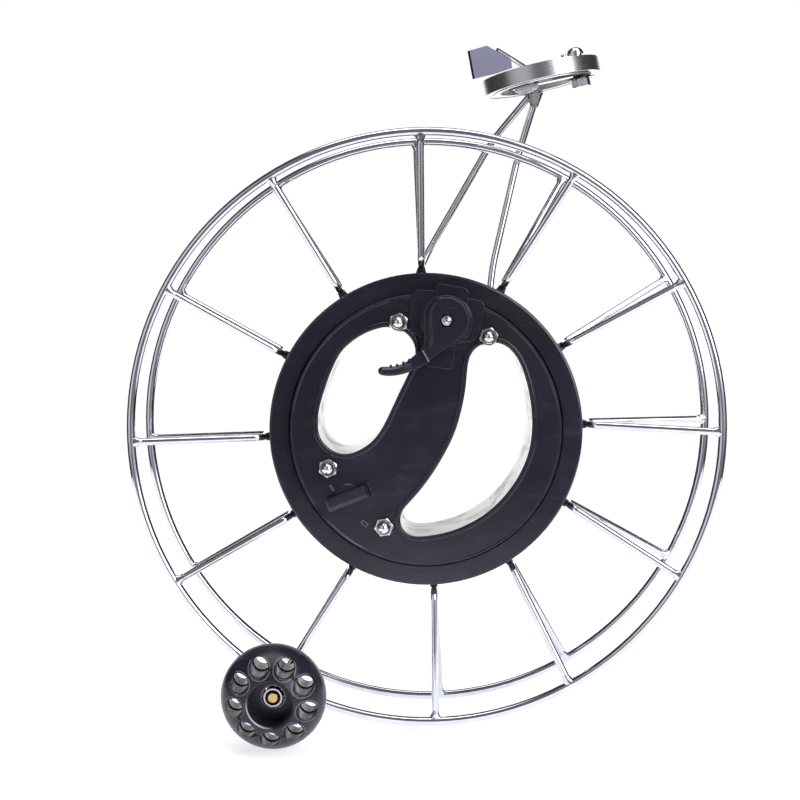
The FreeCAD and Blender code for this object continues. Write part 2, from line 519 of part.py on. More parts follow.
knob = fuse(bar, cyl_y(LOCK_X, LOCK_Z, 7.4, -31.0, -28.2), cyl_y(LOCK_X, LOCK_Z, 5.98, -28.3, -22.2),
            Part.makeBox(7.0, 3.4, 7.0, V(LOCK_X - 3.5, -22.2, LOCK_Z - 3.5)))
save(knob.cut(ring_y(LOCK_X, LOCK_Z, 5.2, 6.5, -23.9, -22.7)), "lock_knob")
clip = ring_y(LOCK_X, LOCK_Z, 5.22, 7.6, -23.85, -22.75)
save(clip.cut(turn(Part.makeBox(6.0, 2.0, 9.0, V(LOCK_X, -24.2, LOCK_Z - 4.5)), 300.0, LOCK_X, LOCK_Z)), "lock_clip")
# the crank pin stands 45 degrees short of the line across the bolt at rest
pin_dir = math.radians(LOCK_DEG - 90.0 - 45.0)
pin_x = LOCK_X + LOCK_E * math.cos(pin_dir)
pin_z = LOCK_Z + LOCK_E * math.sin(pin_dir)
crank = fuse(cyl_y(LOCK_X, LOCK_Z, 6.6, -22.2, -18.2), cyl_y(pin_x, pin_z, LOCK_PIN_R, -18.3, -10.2))
save(crank.cut(Part.makeBox(7.04, 3.5, 7.04, V(LOCK_X - 3.52, -22.3, LOCK_Z - 3.52))), "lock_crank")
slot_r = LOCK_PIVOT_R - LOCK_E * math.sin(math.radians(45.0))
bolt_body = fuse(Part.makeBox(10.6, 6.4, 17.0, V(slot_r - 5.3, -16.8, -8.5)),
                 Part.makeBox(LOCK_TIP_R - slot_r, 6.4, 9.0, V(slot_r, -16.8, -4.5)))
bolt_body = bolt_body.cut(Part.makeBox(2 * LOCK_PIN_R + 0.44, 8.0, 11.6, V(slot_r - LOCK_PIN_R - 0.22, -17.5, -5.8)))
tip_round = Part.makeBox(40, 10, 9.0, V(60, -18, -4.5)).common(cyl_y(0, 0, LOCK_TIP_R, -18, -8))
bolt_body = bolt_body.common(fuse(tip_round, Part.makeBox(40, 10, 18, V(40, -18, -9))))
save(turn(bolt_body, LOCK_DEG), "lock_bolt")
save(turn(Part.makeBox(0.5, 2.8, 17.8, V(LOCK_PIVOT_R - 7.4, -21.6, -8.9)), LOCK_DEG), "lock_detent_spring")

# ------------------------------------------------------------ winding knob
post = post_full.cut([front_ring, cyl_y(KNOB_X, KNOB_Z, 3.0, -34.0, -25.0)])
save(max(post.Solids, key=lambda k: k.Volume), "knob_post")
axle = fuse(cyl_y(KNOB_X, KNOB_Z, 3.0, -33.5, -25.0), cyl_y(KNOB_X, KNOB_Z, 5.4, -36.0, -33.0),
            cyl_y(KNOB_X, KNOB_Z, 4.0, -56.4, -35.5))
save(axle.cut(cyl_y(KNOB_X, KNOB_Z, 2.0, -57.0, -42.0)), "knob_axle")
save(fuse(ring_y(KNOB_X, KNOB_Z, 2.1, 5.4, -57.4, -56.5), ring_y(KNOB_X, KNOB_Z, 4.6, 5.4, -58.8, -57.2)), "knob_washer")
screw = fuse(revolve_y([(0, -57.4), (3.2, -57.4), (3.2, -58.6), (2.7, -59.3), (0, -59.5)], KNOB_X, KNOB_Z),
             cyl_y(KNOB_X, KNOB_Z, 2.0, -57.6, -43.0))
slot = Part.makeBox(7.0, 1.0, 0.9, V(KNOB_X - 3.5, -60.0, KNOB_Z - 0.45))
save(screw.cut(turn(slot, 35.0, KNOB_X, KNOB_Z)), "knob_screw")
save(ring_y(KNOB_X, KNOB_Z, 4.0, 5.3, -51.5, -41.0), "knob_spacer")

inner_races, outer_races, kballs = [], [], []
for y0 in (-56.5, -41.0):
    g = torus_y(6.0, 1.3, y0 + 2.5, KNOB_X, KNOB_Z)
    inner_races.append(ring_y(KNOB_X, KNOB_Z, 4.0, 5.35, y0, y0 + 5.0).cut(g))
    outer_races.append(ring_y(KNOB_X, KNOB_Z, 6.65, 8.0, y0, y0 + 5.0).cut(g))
    for i in range(9):
        x, z = polar(6.0, 40.0 * i)
        kballs.append(Part.makeSphere(1.2, V(KNOB_X + x, y0 + 2.5, KNOB_Z + z)))
save(Part.makeCompound(inner_races), "knob_bearing_inner_races")
save(Part.makeCompound(outer_races), "knob_bearing_outer_races")
save(Part.makeCompound(kballs), "knob_bearing_balls")


def dome_profile(depth, sign, n=14, stop=1.0):
    """Quarter ellipse from the widest plane towards the pole."""
    out = []
    for i in range(n + 1):
        a = math.radians(90.0 * stop * i / n)
        out.append((KNOB_R * math.cos(a), KNOB_MID_Y + sign * depth * math.sin(a)))
    return out


def spline_revolve(curve_pts, close_pts):
    """Revolved profile: a smooth curve closed by straight runs."""
    c = Part.BSplineCurve()
    c.interpolate([V(r, y, 0) for r, y in curve_pts])
    pts = [V(*(list(curve_pts[-1]) + [0]))] + [V(r, y, 0) for r, y in close_pts] + [V(*(list(curve_pts[0]) + [0]))]
    edges = [c.toShape()] + [Part.LineSegment(pts[i], pts[i + 1]).toShape() for i in range(len(pts) - 1)]
    s = Part.Face(Part.Wire(edges)).revolve(V(0, 0, 0), V(0, 1, 0), 360)
    s.translate(V(KNOB_X, 0, KNOB_Z))
    return s


a_rec = math.degrees(math.acos((KNOB_RECESS_R + 1.2) / KNOB_R)) / 90.0
front_curve = dome_profile(KNOB_FRONT_D, -1, 14, a_rec)
front_top = front_curve[-1][1]
front_shell = spline_revolve(front_curve, [(KNOB_RECESS_R, front_top + 0.9), (KNOB_RECESS_R, KNOB_FLOOR_Y), (7.5, KNOB_FLOOR_Y),
                                           (7.5, -56.5), (8.0, -56.5), (8.0, KNOB_MID_Y)])
a_boss = math.degrees(math.acos(10.4 / KNOB_R)) / 90.0
rear_curve = dome_profile(KNOB_REAR_D, 1, 12, a_boss)
rear_shell = spline_revolve(rear_curve, [(10.4, -35.4), (6.9, -35.4), (6.9, -36.0), (8.0, -36.0), (8.0, -41.0), (6.9, -41.0),
                                         (6.9, -51.5), (8.0, -51.5), (8.0, KNOB_MID_Y)])
hole_cut = []
for i in range(KNOB_HOLES):
    x, z = polar(KNOB_HOLE_PITCH_R, KNOB_HOLE_DEG + 40.0 * i)
    hole_cut.append(cyl_y(KNOB_X + x, KNOB_Z + z, KNOB_HOLE_R, -90.0, -30.0))
    y_face = KNOB_MID_Y - KNOB_FRONT_D * math.sqrt(1 - (KNOB_HOLE_PITCH_R / KNOB_R) ** 2)
    hole_cut.append(Part.makeCone(KNOB_HOLE_R + 2.2, KNOB_HOLE_R, 2.6, V(KNOB_X + x * 0.97, y_face - 1.6, KNOB_Z + z * 0.97), V(0, 1, 0)))
save(front_shell.cut(hole_cut), "knob_front_shell")
rear_cut = []
for i in range(KNOB_HOLES):
    x, z = polar(KNOB_HOLE_PITCH_R, KNOB_HOLE_DEG + 40.0 * i)
    rear_cut.append(cyl_y(KNOB_X + x, KNOB_Z + z, KNOB_REAR_HOLE_R, -60.0, -30.0))
save(rear_shell.cut(rear_cut), "knob_rear_shell")

# ------------------------------------------------------------- line guide
disc = to_guide(Part.makeCylinder(GUIDE_R, 2 * GUIDE_HALF, V(0, 0, -GUIDE_HALF)))
gg = Part.makeTorus(GUIDE_BALL_PITCH, GUIDE_BALL_R + 0.12)
outer = ring_z(33.4, GUIDE_R, -GUIDE_HALF, GUIDE_HALF).cut(gg)
save(to_guide(outer), "guide_outer_ring")
save(to_guide(ring_z(27.5, 30.2, -GUIDE_HALF, GUIDE_HALF).cut(gg)), "guide_inner_ring")
save(to_guide(Part.makeCompound([ring_z(30.55, 33.4, z0, z0 + 0.6) for z0 in (-4.2, 3.6)])), "guide_shields")
gballs, gpockets = [], []
for i in range(GUIDE_BALLS):
    x, y = polar(GUIDE_BALL_PITCH, 360.0 * (i + 0.5) / GUIDE_BALLS)
    gballs.append(Part.makeSphere(GUIDE_BALL_R, V(x, y, 0)))
    gpockets.append(Part.makeCylinder(GUIDE_BALL_R + 0.2, 6.0, V(x, y, 0) * ((GUIDE_BALL_PITCH - 3.0) / GUIDE_BALL_PITCH), V(x, y, 0)))
save(to_guide(Part.makeCompound(gballs)), "guide_balls")
save(to_guide(ring_z(31.1, 32.5, -3.2, 3.2).cut(Part.makeCompound(gpockets))), "guide_cage")

insert = fuse(ring_z(25.9, 27.5, -GUIDE_HALF, GUIDE_HALF), Part.makeBox(12.1, 13.0, 3.0, V(14.2, -6.5, -1.5)),
              Part.makeCylinder(1.6, 9.0, V(15.6, -4.2, 1.0)))
insert = insert.cut([Part.makeCylinder(3.1, 10, V(STRAP_BOLT_X, 0, -5)), Part.makeCylinder(4.05, 5, V(STRAP_BOLT_X, 0, 1.5)),
                     Part.makeCylinder(4.05, 5, V(STRAP_BOLT_X, 0, -6.5))])
save(to_guide(insert), "swivel_insert")
strap = fuse(Part.makeBox(STRAP_BOLT_X - EYELET_X, 7.0, 2.2, V(EYELET_X, -3.5, -3.7)),
             Part.makeCylinder(4.0, 2.2, V(STRAP_BOLT_X, 0, -3.7)), Part.makeCylinder(8.4, 2.2, V(EYELET_X, 0, -3.7)))
strap = strap.cut([Part.makeCylinder(3.1, 10, V(STRAP_BOLT_X, 0, -8)), Part.makeCylinder(6.0, 10, V(EYELET_X, 0, -8))])
save(to_guide(strap), "eyelet_strap")
eyelet = Part.Face(Part.Wire([
    Part.LineSegment(V(6.0, 0, -3.7), V(6.0, 0, -1.5)).toShape(),
    Part.LineSegment(V(6.0, 0, -1.5), V(7.4, 0, -1.5)).toShape(),
    Part.Arc(V(7.4, 0, -1.5), V(6.2, 0, -0.35), V(4.8, 0, 0.0)).toShape(),
    Part.Arc(V(4.8, 0, 0.0), V(3.8, 0, -0.42), V(EYELET_R, 0, -1.4)).toShape(),
    Part.LineSegment(V(EYELET_R, 0, -1.4), V(EYELET_R, 0, -5.0)).toShape(),
    Part.Arc(V(EYELET_R, 0, -5.0), V(3.8, 0, -5.98), V(4.8, 0, -6.4)).toShape(),
    Part.Arc(V(4.8, 0, -6.4), V(6.6, 0, -5.6), V(7.4, 0, -3.7)).toShape(),
    Part.LineSegment(V(7.4, 0, -3.7), V(6.0, 0, -3.7)).toShape()])).revolve(V(0, 0, 0), V(0, 0, 1), 360)
eyelet.translate(V(EYELET_X, 0, 0))
save(to_guide(eyelet), "line_eyelet")


def hex_z(x, y, af, z0, z1, a0=0.0):
    pts = [V(x + p, y + q, z0) for p, q in hexagon(af, a0)]
    return Part.Face(Part.makePolygon(pts + [pts[0]])).extrude(V(0, 0, z1 - z0))


def revolve_z(profile, x=0.0, y=0.0):
    pts = [V(r, 0, z) for r, z in profile]
    s = Part.Face(Part.makePolygon(pts + [pts[0]])).revolve(V(0, 0, 0), V(0, 0, 1), 360)
    s.translate(V(x, y, 0))
    return s


sb_head = revolve_z([(0, 8.5), (5.2, 8.5), (5.2, 9.6), (4.7, 11.2), (3.7, 12.4), (2.3, 13.2), (0, 13.5)], STRAP_BOLT_X)
save(to_guide(fuse(Part.makeCylinder(3.0, 19.6, V(STRAP_BOLT_X, 0, -11.0)), sb_head)), "strap_bolt")
save(to_guide(ring_z(3.1, 4.0, 1.5, 8.5, STRAP_BOLT_X)), "strap_spacer")
save(to_guide(fuse(ring_z(3.1, 4.0, -5.0, -3.7, STRAP_BOLT_X), ring_z(3.1, 7.0, -5.9, -4.9, STRAP_BOLT_X))), "strap_washer")
sn = hex_z(STRAP_BOLT_X, 0, 10.0, -10.9, -5.9, 5.0)
sn = sn.common(revolve_z([(0, -10.9), (5.0, -10.9), (5.85, -10.4), (5.85, -6.4), (5.0, -5.9), (0, -5.9)], STRAP_BOLT_X))
save(to_guide(sn.cut(Part.makeCylinder(3.03, 10, V(STRAP_BOLT_X, 0, -13)))), "strap_nut")

# line guard: a flag plate on a rod that stands on the swivelling ring
GUARD_YAW = 30.0
GUARD_ROD_R = 1.4
gd = V(-math.cos(math.radians(GUARD_YAW)), -math.sin(math.radians(GUARD_YAW)), 0)
gn = V(-gd.y, gd.x, 0)
g0 = V(59.73, 34.5, 0)


def on_guard(s, z, off=0.0):
    return g0 + gd * s + V(0, 0, z) + gn * off


plate_sz = [(39.1, 230.3), (26.6, 234.3), (9.0, 227.2), (8.0, 222.0), (19.8, 217.7), (35.3, 213.5)]
rod_a, rod_b = on_guard(18.5, 232.5, 0.0), on_guard(-2.3, 223.4, 0.0)
pf = to_guide(Part.makeCylinder(GUARD_ROD_R, 5.5, V(0.4, 26.7, GUIDE_HALF)))
pf_top = to_guide(Part.makeSphere(GUARD_ROD_R, V(0.4, 26.7, GUIDE_HALF + 5.5))).BoundBox.Center
link = Part.makeCylinder(GUARD_ROD_R, (pf_top - rod_b).Length, rod_b, pf_top - rod_b)
guard_rod = Part.makeCylinder(GUARD_ROD_R, (rod_b - rod_a).Length, rod_a, rod_b - rod_a)
guard = fuse(guard_rod, Part.makeSphere(GUARD_ROD_R, rod_b), link, Part.makeSphere(GUARD_ROD_R, pf_top), pf)
save(guard, "line_guard_rod")
pts = [on_guard(s, z, -1.3) for s, z in plate_sz]
plate = Part.Face(Part.makePolygon(pts + [pts[0]])).extrude(gn * 2.6)
save(max(plate.cut(guard).Solids, key=lambda k: k.Volume), "line_guard_plate")

# ------------------------------------------------------------- guide arms
bx, bz = BOLT_XZ[0]
arm_l = rod([(bx, COVER_FACE + 3.4, bz), (-0.4, 39.5, 105.6), (41.8, ARM_Y, 178.8), (64.8, ARM_Y, 206.2)], ARM_ROD_R, [90.0, 110.0])
bx2, bz2 = BOLT_XZ[1]
arm_r = rod([(bx2, COVER_FACE + 3.4, bz2), (42.0, 38.5, 99.1), (58.6, ARM_Y, 170.7), (69.2, ARM_Y, 205.2)], ARM_ROD_R, [120.0, 150.0])


def eye(x, z):
    return revolve_y([(0, 28.2), (5.8, 28.2), (6.8, 29.2), (6.8, 31.6), (5.8, 32.6), (0, 32.6)], x, z)


ring_body = to_guide(Part.makeCylinder(GUIDE_R, 2 * GUIDE_HALF, V(0, 0, -GUIDE_HALF)))
arm_head = Part.makeCone(2.9, 5.6, 7.4, V(68.4, ARM_Y - 0.6, 201.8), V(0.02, -0.14, 1))
arm_head = fuse(arm_head, Part.makeSphere(2.9, V(68.4, ARM_Y - 0.6, 202.0)))
arm_head = arm_head.cut([ring_body])
arm_head = max(arm_head.Solids, key=lambda k: k.Volume)
flat_slot_l = cyl_y(bx, bz, BOLT_HOLE_R, 20, 50)
arm_left = fuse(arm_l, eye(bx, bz)).cut([flat_slot_l, cyl_y(bx, bz, 20, 20, 28.2), cyl_y(bx, bz, 7.0, 32.6, 40), ring_body, arm_head])
save(max(arm_left.Solids, key=lambda k: k.Volume), "guide_arm_left")
flat_slot_r = cyl_y(bx2, bz2, BOLT_HOLE_R, 20, 50)
arm_right = fuse(arm_r, eye(bx2, bz2)).cut([flat_slot_r, cyl_y(bx2, bz2, 20, 20, 28.2), cyl_y(bx2, bz2, 7.0, 32.6, 40), ring_body,
                                            arm_head, arm_l])
save(max(arm_right.Solids, key=lambda k: k.Volume), "guide_arm_right")
save(arm_head, "guide_arm_head")
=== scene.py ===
import json
import math

import bmesh
import bpy
from mathutils import Matrix, Vector


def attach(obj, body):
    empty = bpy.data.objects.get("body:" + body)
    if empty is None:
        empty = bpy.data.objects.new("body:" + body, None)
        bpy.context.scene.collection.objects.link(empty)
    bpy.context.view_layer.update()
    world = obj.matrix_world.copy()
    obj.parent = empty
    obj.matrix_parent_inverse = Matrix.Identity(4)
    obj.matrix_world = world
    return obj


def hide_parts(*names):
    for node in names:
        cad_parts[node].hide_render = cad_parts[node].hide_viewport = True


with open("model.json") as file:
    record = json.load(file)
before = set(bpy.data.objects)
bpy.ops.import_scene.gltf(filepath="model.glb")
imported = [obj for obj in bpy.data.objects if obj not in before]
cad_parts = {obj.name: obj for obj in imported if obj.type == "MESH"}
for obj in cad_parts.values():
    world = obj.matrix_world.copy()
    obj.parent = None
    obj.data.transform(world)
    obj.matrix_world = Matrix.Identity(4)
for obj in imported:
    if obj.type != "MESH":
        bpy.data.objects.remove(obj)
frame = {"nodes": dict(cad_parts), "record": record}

NODES = frame["nodes"]
SCENE = bpy.context.scene
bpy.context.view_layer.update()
MM = 0.001


# ------------------------------------------------------------------ node tools
class Tree:
    """Short calls for building a node tree."""

    def __init__(self, tree):
        self.t = tree
        tree.nodes.clear()

    def put(self, kind, props=None, ins=None):
        nd = self.t.nodes.new(kind)
        for k, v in (props or {}).items():
            setattr(nd, k, v)
        for k, v in (ins or {}).items():
            self.feed(nd.inputs[k], v)
        return nd

    def feed(self, sock, v):
        if isinstance(v, bpy.types.NodeSocket):
            self.t.links.new(v, sock)
        else:
            sock.default_value = v

    def math(self, op, a, b=None, c=None, clamp=False):
        nd = self.put("ShaderNodeMath", {"operation": op, "use_clamp": clamp})
        for i, v in enumerate((a, b, c)):
            if v is not None:
                self.feed(nd.inputs[i], v)
        return nd.outputs[0]

    def mul(self, a, b):
        return self.math("MULTIPLY", a, b)

    def add(self, a, b):
        return self.math("ADD", a, b)

    def sub(self, a, b):
        return self.math("SUBTRACT", a, b)

    def step(self, v, a, b, lo=0.0, hi=1.0):
        """Smooth ramp of v from a to b, onto lo to hi."""
        nd = self.put("ShaderNodeMapRange", {"interpolation_type": "SMOOTHSTEP", "clamp": True})
        for i, x in enumerate((v, a, b, lo, hi)):
            self.feed(nd.inputs[i], x)
        return nd.outputs[0]

    def line(self, v, a, b, lo=0.0, hi=1.0):
        nd = self.put("ShaderNodeMapRange", {"interpolation_type": "LINEAR", "clamp": True})
        for i, x in enumerate((v, a, b, lo, hi)):
            self.feed(nd.inputs[i], x)
        return nd.outputs[0]

    def xyz(self, vec):
        return self.put("ShaderNodeSeparateXYZ", None, {0: vec}).outputs

    def vec(self, x, y, z):
        return self.put("ShaderNodeCombineXYZ", None, {0: x, 1: y, 2: z}).outputs[0]

    def place(self, vec, loc=(0, 0, 0), rot=(0, 0, 0), scale=(1, 1, 1)):
        nd = self.put("ShaderNodeMapping", {"vector_type": "POINT"}, {0: vec})
        nd.inputs[1].default_value = loc
        nd.inputs[2].default_value = rot
        nd.inputs[3].default_value = scale
        return nd.outputs[0]

    def noise(self, vec, scale, detail=3.0, rough=0.5, warp=0.0):
        nd = self.put("ShaderNodeTexNoise", {"noise_dimensions": "3D"},
                      {"Vector": vec, "Scale": scale, "Detail": detail, "Roughness": rough, "Distortion": warp})
        return nd.outputs["Fac"]

    def voronoi(self, vec, scale, feature="F1", rand=1.0):
        nd = self.put("ShaderNodeTexVoronoi", {"feature": feature},
                      {"Vector": vec, "Scale": scale, "Randomness": rand})
        return nd.outputs["Distance"]

    def blend(self, fac, a, b, how="MIX"):
        """Colour a turns into colour b as fac goes from 0 to 1."""
        nd = self.put("ShaderNodeMix", {"data_type": "RGBA", "blend_type": how, "clamp_factor": True})
        self.feed(nd.inputs[0], fac)
        for i, v in ((6, a), (7, b)):
            self.feed(nd.inputs[i], v if isinstance(v, bpy.types.NodeSocket) else (*v, 1.0))
        return nd.outputs[2]

    def bump(self, height, strength, distance, normal=None):
        ins = {"Height": height, "Strength": strength, "Distance": distance}
        if normal is not None:
            ins["Normal"] = normal
        return self.put("ShaderNodeBump", None, ins).outputs[0]


def material(name):
    m = bpy.data.materials.new(name)
    m.use_nodes = True
    t = Tree(m.node_tree)
    out = t.put("ShaderNodeOutputMaterial")
    bsdf = t.put("ShaderNodeBsdfPrincipled")
    t.t.links.new(bsdf.outputs[0], out.inputs[0])
    co = t.put("ShaderNodeTexCoord").outputs["Object"]
    return m, t, bsdf, co


def on(bsdf, t, **ins):
    names = {"base": "Base Color", "metal": "Metallic", "rough": "Roughness", "ior": "IOR", "normal": "Normal",
             "spec": "Specular IOR Level", "aniso": "Anisotropic", "turn": "Anisotropic Rotation",
             "tangent": "Tangent", "coat": "Coat Weight", "coat_rough": "Coat Roughness",
             "sss": "Subsurface Weight", "trans": "Transmission Weight"}
    for k, v in ins.items():
        if isinstance(v, tuple) and len(v) == 3 and k == "base":
            v = (*v, 1.0)
        t.feed(bsdf.inputs[names[k]], v)


# ------------------------------------------------------------------- materials
def plastic(name, dark, light, rough=(0.2, 0.34), clouds=22.0, grain=0.0, scuff=0.5, specks=0.5, tint=None, coat=0.0,
            edge=0.0, edge_tone=(0.2, 0.205, 0.27), edge_r=0.0007, seam_highlight_bands=(), spec=0.5,
            extra=None):
    """Moulded plastic: cloudy tone, smudges and fine scuffs in the gloss, a few dust specks, faint mould texture."""
    m, t, b, co = material(name)
    cloud = t.step(t.noise(co, clouds, 4.0, 0.55, 0.6), 0.35, 0.72)
    smear = t.step(t.noise(t.place(co, rot=(0.3, 0.6, 0.9), scale=(1, 1, 2.6)), clouds * 2.1, 5.0, 0.6, 0.9), 0.42, 0.7)
    fine = t.noise(co, 900.0, 3.0, 0.6)
    base = t.blend(cloud, dark, light)
    if tint:
        col, at, size = tint
        x, y, z = t.xyz(t.place(co, loc=tuple(-c for c in at), scale=(1, 1, 1)))[:3]
        far = t.math("SQRT", t.add(t.add(t.mul(x, x), t.mul(y, y)), t.mul(z, z)))
        spot = t.mul(t.step(far, size, size * 0.25), t.step(t.noise(t.place(co, rot=(0, -0.5, 0), scale=(1, 1, 4)), 70.0, 4.0, 0.6, 0.5), 0.4, 0.62))
        base = t.blend(spot, base, col)
    # hair lines
    line_a = t.noise(t.place(co, rot=(0.0, 0.5, 0.0), scale=(40, 40, 1200)), 1.0, 2.0, 0.5, 0.2)
    line_b = t.noise(t.place(co, rot=(0.0, -0.9, 0.0), scale=(60, 60, 1500)), 1.0, 2.0, 0.5, 0.2)
    hair = t.mul(t.add(t.step(line_a, 0.66, 0.74), t.step(line_b, 0.68, 0.76)), t.step(smear, 0.2, 0.9))
    # dust specks
    cell = t.voronoi(co, 260.0)
    few = t.step(t.noise(co, 330.0, 1.0, 0.5), 0.64, 0.68)
    dust = t.mul(t.step(cell, 0.16, 0.06), few)
    base = t.blend(t.mul(dust, specks), base, (0.16, 0.17, 0.2))
    base = t.blend(t.mul(hair, scuff * 0.25), base, (0.08, 0.085, 0.1))
    if edge:
        # painted highlight: outer edges made lighter than the faces, broken up by noise
        true = t.put("ShaderNodeNewGeometry").outputs["True Normal"]
        soft = t.put("ShaderNodeBevel", {"samples": 6}, {"Radius": edge_r}).outputs[0]
        same = t.put("ShaderNodeVectorMath", {"operation": "DOT_PRODUCT"}, {0: true, 1: soft}).outputs["Value"]
        edge_highlight = t.mul(t.step(same, 0.985, 0.82), t.step(t.noise(co, 160.0, 3.0, 0.6), 0.3, 0.62, 0.35, 1.0))
        base = t.blend(t.mul(edge_highlight, edge), base, edge_tone)
    for lo, hi, amount in seam_highlight_bands:
        # painted highlight: thin light circular line round the wheel axis on the front, such as along the seam of the
        # hub
        x, y, z = t.xyz(co)[:3]
        rad = t.math("SQRT", t.add(t.mul(x, x), t.mul(z, z)))
        mid, half = (lo + hi) / 2, (hi - lo) / 2
        near = t.step(t.math("ABSOLUTE", t.sub(rad, mid)), half, half * 0.5)
        front = t.step(y, -0.0262, -0.0266)
        base = t.blend(t.mul(t.mul(near, front), t.step(t.noise(co, 60.0, 3.0, 0.6), 0.35, 0.6, amount * 0.35, amount)), base, edge_tone)
    if extra:
        base = extra(t, co, base)
    span = rough[1] - rough[0]
    r = t.add(t.add(rough[0], t.mul(smear, span)), t.mul(hair, scuff * 0.12))
    r = t.add(r, t.mul(t.sub(fine, 0.5), 0.05))
    wave = t.mul(t.noise(co, 30.0, 2.0, 0.5), 0.6)
    h = t.add(wave, t.mul(hair, -0.02))
    h = t.add(h, t.mul(fine, 0.003 + grain))
    on(b, t, base=base, rough=r, ior=1.5, normal=t.bump(h, 0.3, 0.0005))
    b.inputs["Specular IOR Level"].default_value = spec
    if coat:
        b.inputs["Coat Weight"].default_value = coat
        b.inputs["Coat Roughness"].default_value = 0.08
    return m


def steel(name, tone=(0.72, 0.72, 0.74), deep=(0.5, 0.5, 0.53), rough=(0.07, 0.2), lines=None, patch=60.0, bump=0.15,
          heat=0.0):
    """Bright steel. lines gives the axis that drawing or polishing marks run round or along."""
    m, t, b, co = material(name)
    x, y, z = t.xyz(co)[:3]
    if lines == "ring":
        ang = t.math("ARCTAN2", z, x)
        rad = t.math("SQRT", t.add(t.mul(x, x), t.mul(z, z)))
        vec = t.vec(t.mul(rad, 2600.0), t.mul(ang, 14.0), t.mul(y, 2600.0))
    elif lines == "spoke":
        ang = t.math("ARCTAN2", z, x)
        rad = t.math("SQRT", t.add(t.mul(x, x), t.mul(z, z)))
        vec = t.vec(t.mul(rad, 60.0), t.mul(ang, 300.0), t.mul(y, 900.0))
    else:
        vec = t.place(co, rot=(0.4, 0.3, 0.2), scale=(500, 500, 500))
    mark = t.noise(vec, 1.0, 3.0, 0.6)
    cloud = t.step(t.noise(co, patch, 3.0, 0.5, 0.4), 0.35, 0.7)
    base = t.blend(t.add(t.mul(mark, 0.5), t.mul(cloud, 0.5)), deep, tone)
    if heat:
        hot = t.step(t.noise(co, 140.0, 3.0, 0.6, 1.0), 0.45, 0.7)
        base = t.blend(t.mul(hot, heat), base, (0.32, 0.25, 0.2))
    r = t.add(t.add(rough[0], t.mul(cloud, (rough[1] - rough[0]) * 0.6)), t.mul(mark, (rough[1] - rough[0]) * 0.4))
    on(b, t, base=base, metal=1.0, rough=r, normal=t.bump(mark, bump, 0.00004))
    return m


GUIDE_AT = (0.06993, 0.010, 0.2132)
GUIDE_TILT = math.radians(12.1)


def guide_local(t, co):
    """Coordinates in the line guide's own frame, its axis along Z."""
    moved = t.place(co, loc=tuple(-c for c in GUIDE_AT))
    return t.place(moved, rot=(0.0, GUIDE_TILT, 0.0))


def brushed(name):
    m, t, b, co = material(name)
    x, y, z = t.xyz(guide_local(t, co))[:3]
    ang = t.math("ARCTAN2", y, x)
    rad = t.math("SQRT", t.add(t.mul(x, x), t.mul(y, y)))
    fine = t.noise(t.vec(t.mul(ang, 10.0), t.mul(rad, 9000.0), t.mul(z, 9000.0)), 1.0, 3.0, 0.65)
    broad = t.noise(t.vec(t.mul(ang, 2.0), t.mul(rad, 500.0), t.mul(z, 700.0)), 1.0, 2.0, 0.5)
    base = t.blend(t.add(t.mul(fine, 0.6), t.mul(broad, 0.4)), (0.46, 0.45, 0.46), (0.74, 0.73, 0.74))
    r = t.add(0.2, t.mul(fine, 0.16))
    on(b, t, base=base, metal=1.0, rough=r, normal=t.bump(fine, 0.3, 0.00005))
    return m


def simple(name, a, b2, rough, metal=0.0, scale=120.0, bump=0.1, depth=0.0001, ior=1.5, stretch=(1, 1, 1), sss=0.0):
    m, t, b, co = material(name)
    v = t.place(co, scale=stretch)
    n = t.noise(v, scale, 4.0, 0.55, 0.3)
    f = t.noise(v, scale * 9.0, 3.0, 0.6)
    base = t.blend(t.step(n, 0.3, 0.7), a, b2)
    r = t.add(rough[0], t.mul(t.add(t.mul(n, 0.6), t.mul(f, 0.4)), rough[1] - rough[0]))
    on(b, t, base=base, metal=metal, rough=r, ior=ior, normal=t.bump(t.add(t.mul(n, 0.5), t.mul(f, 0.5)), bump, depth))
    if sss:
        b.inputs["Subsurface Weight"].default_value = sss
        b.inputs["Subsurface Radius"].default_value = (0.001, 0.001, 0.001)
    return m


KNOB_AT = (-0.08875, -0.054, -0.15372)
PIVOT_AT = (0.0123, 0.0657)


def radius_about(t, co, cx, cz):
    x, y, z = t.xyz(co)[:3]
    dx, dz = t.sub(x, cx), t.sub(z, cz)
    return t.math("SQRT", t.add(t.mul(dx, dx), t.mul(dz, dz))), dx, dz, y


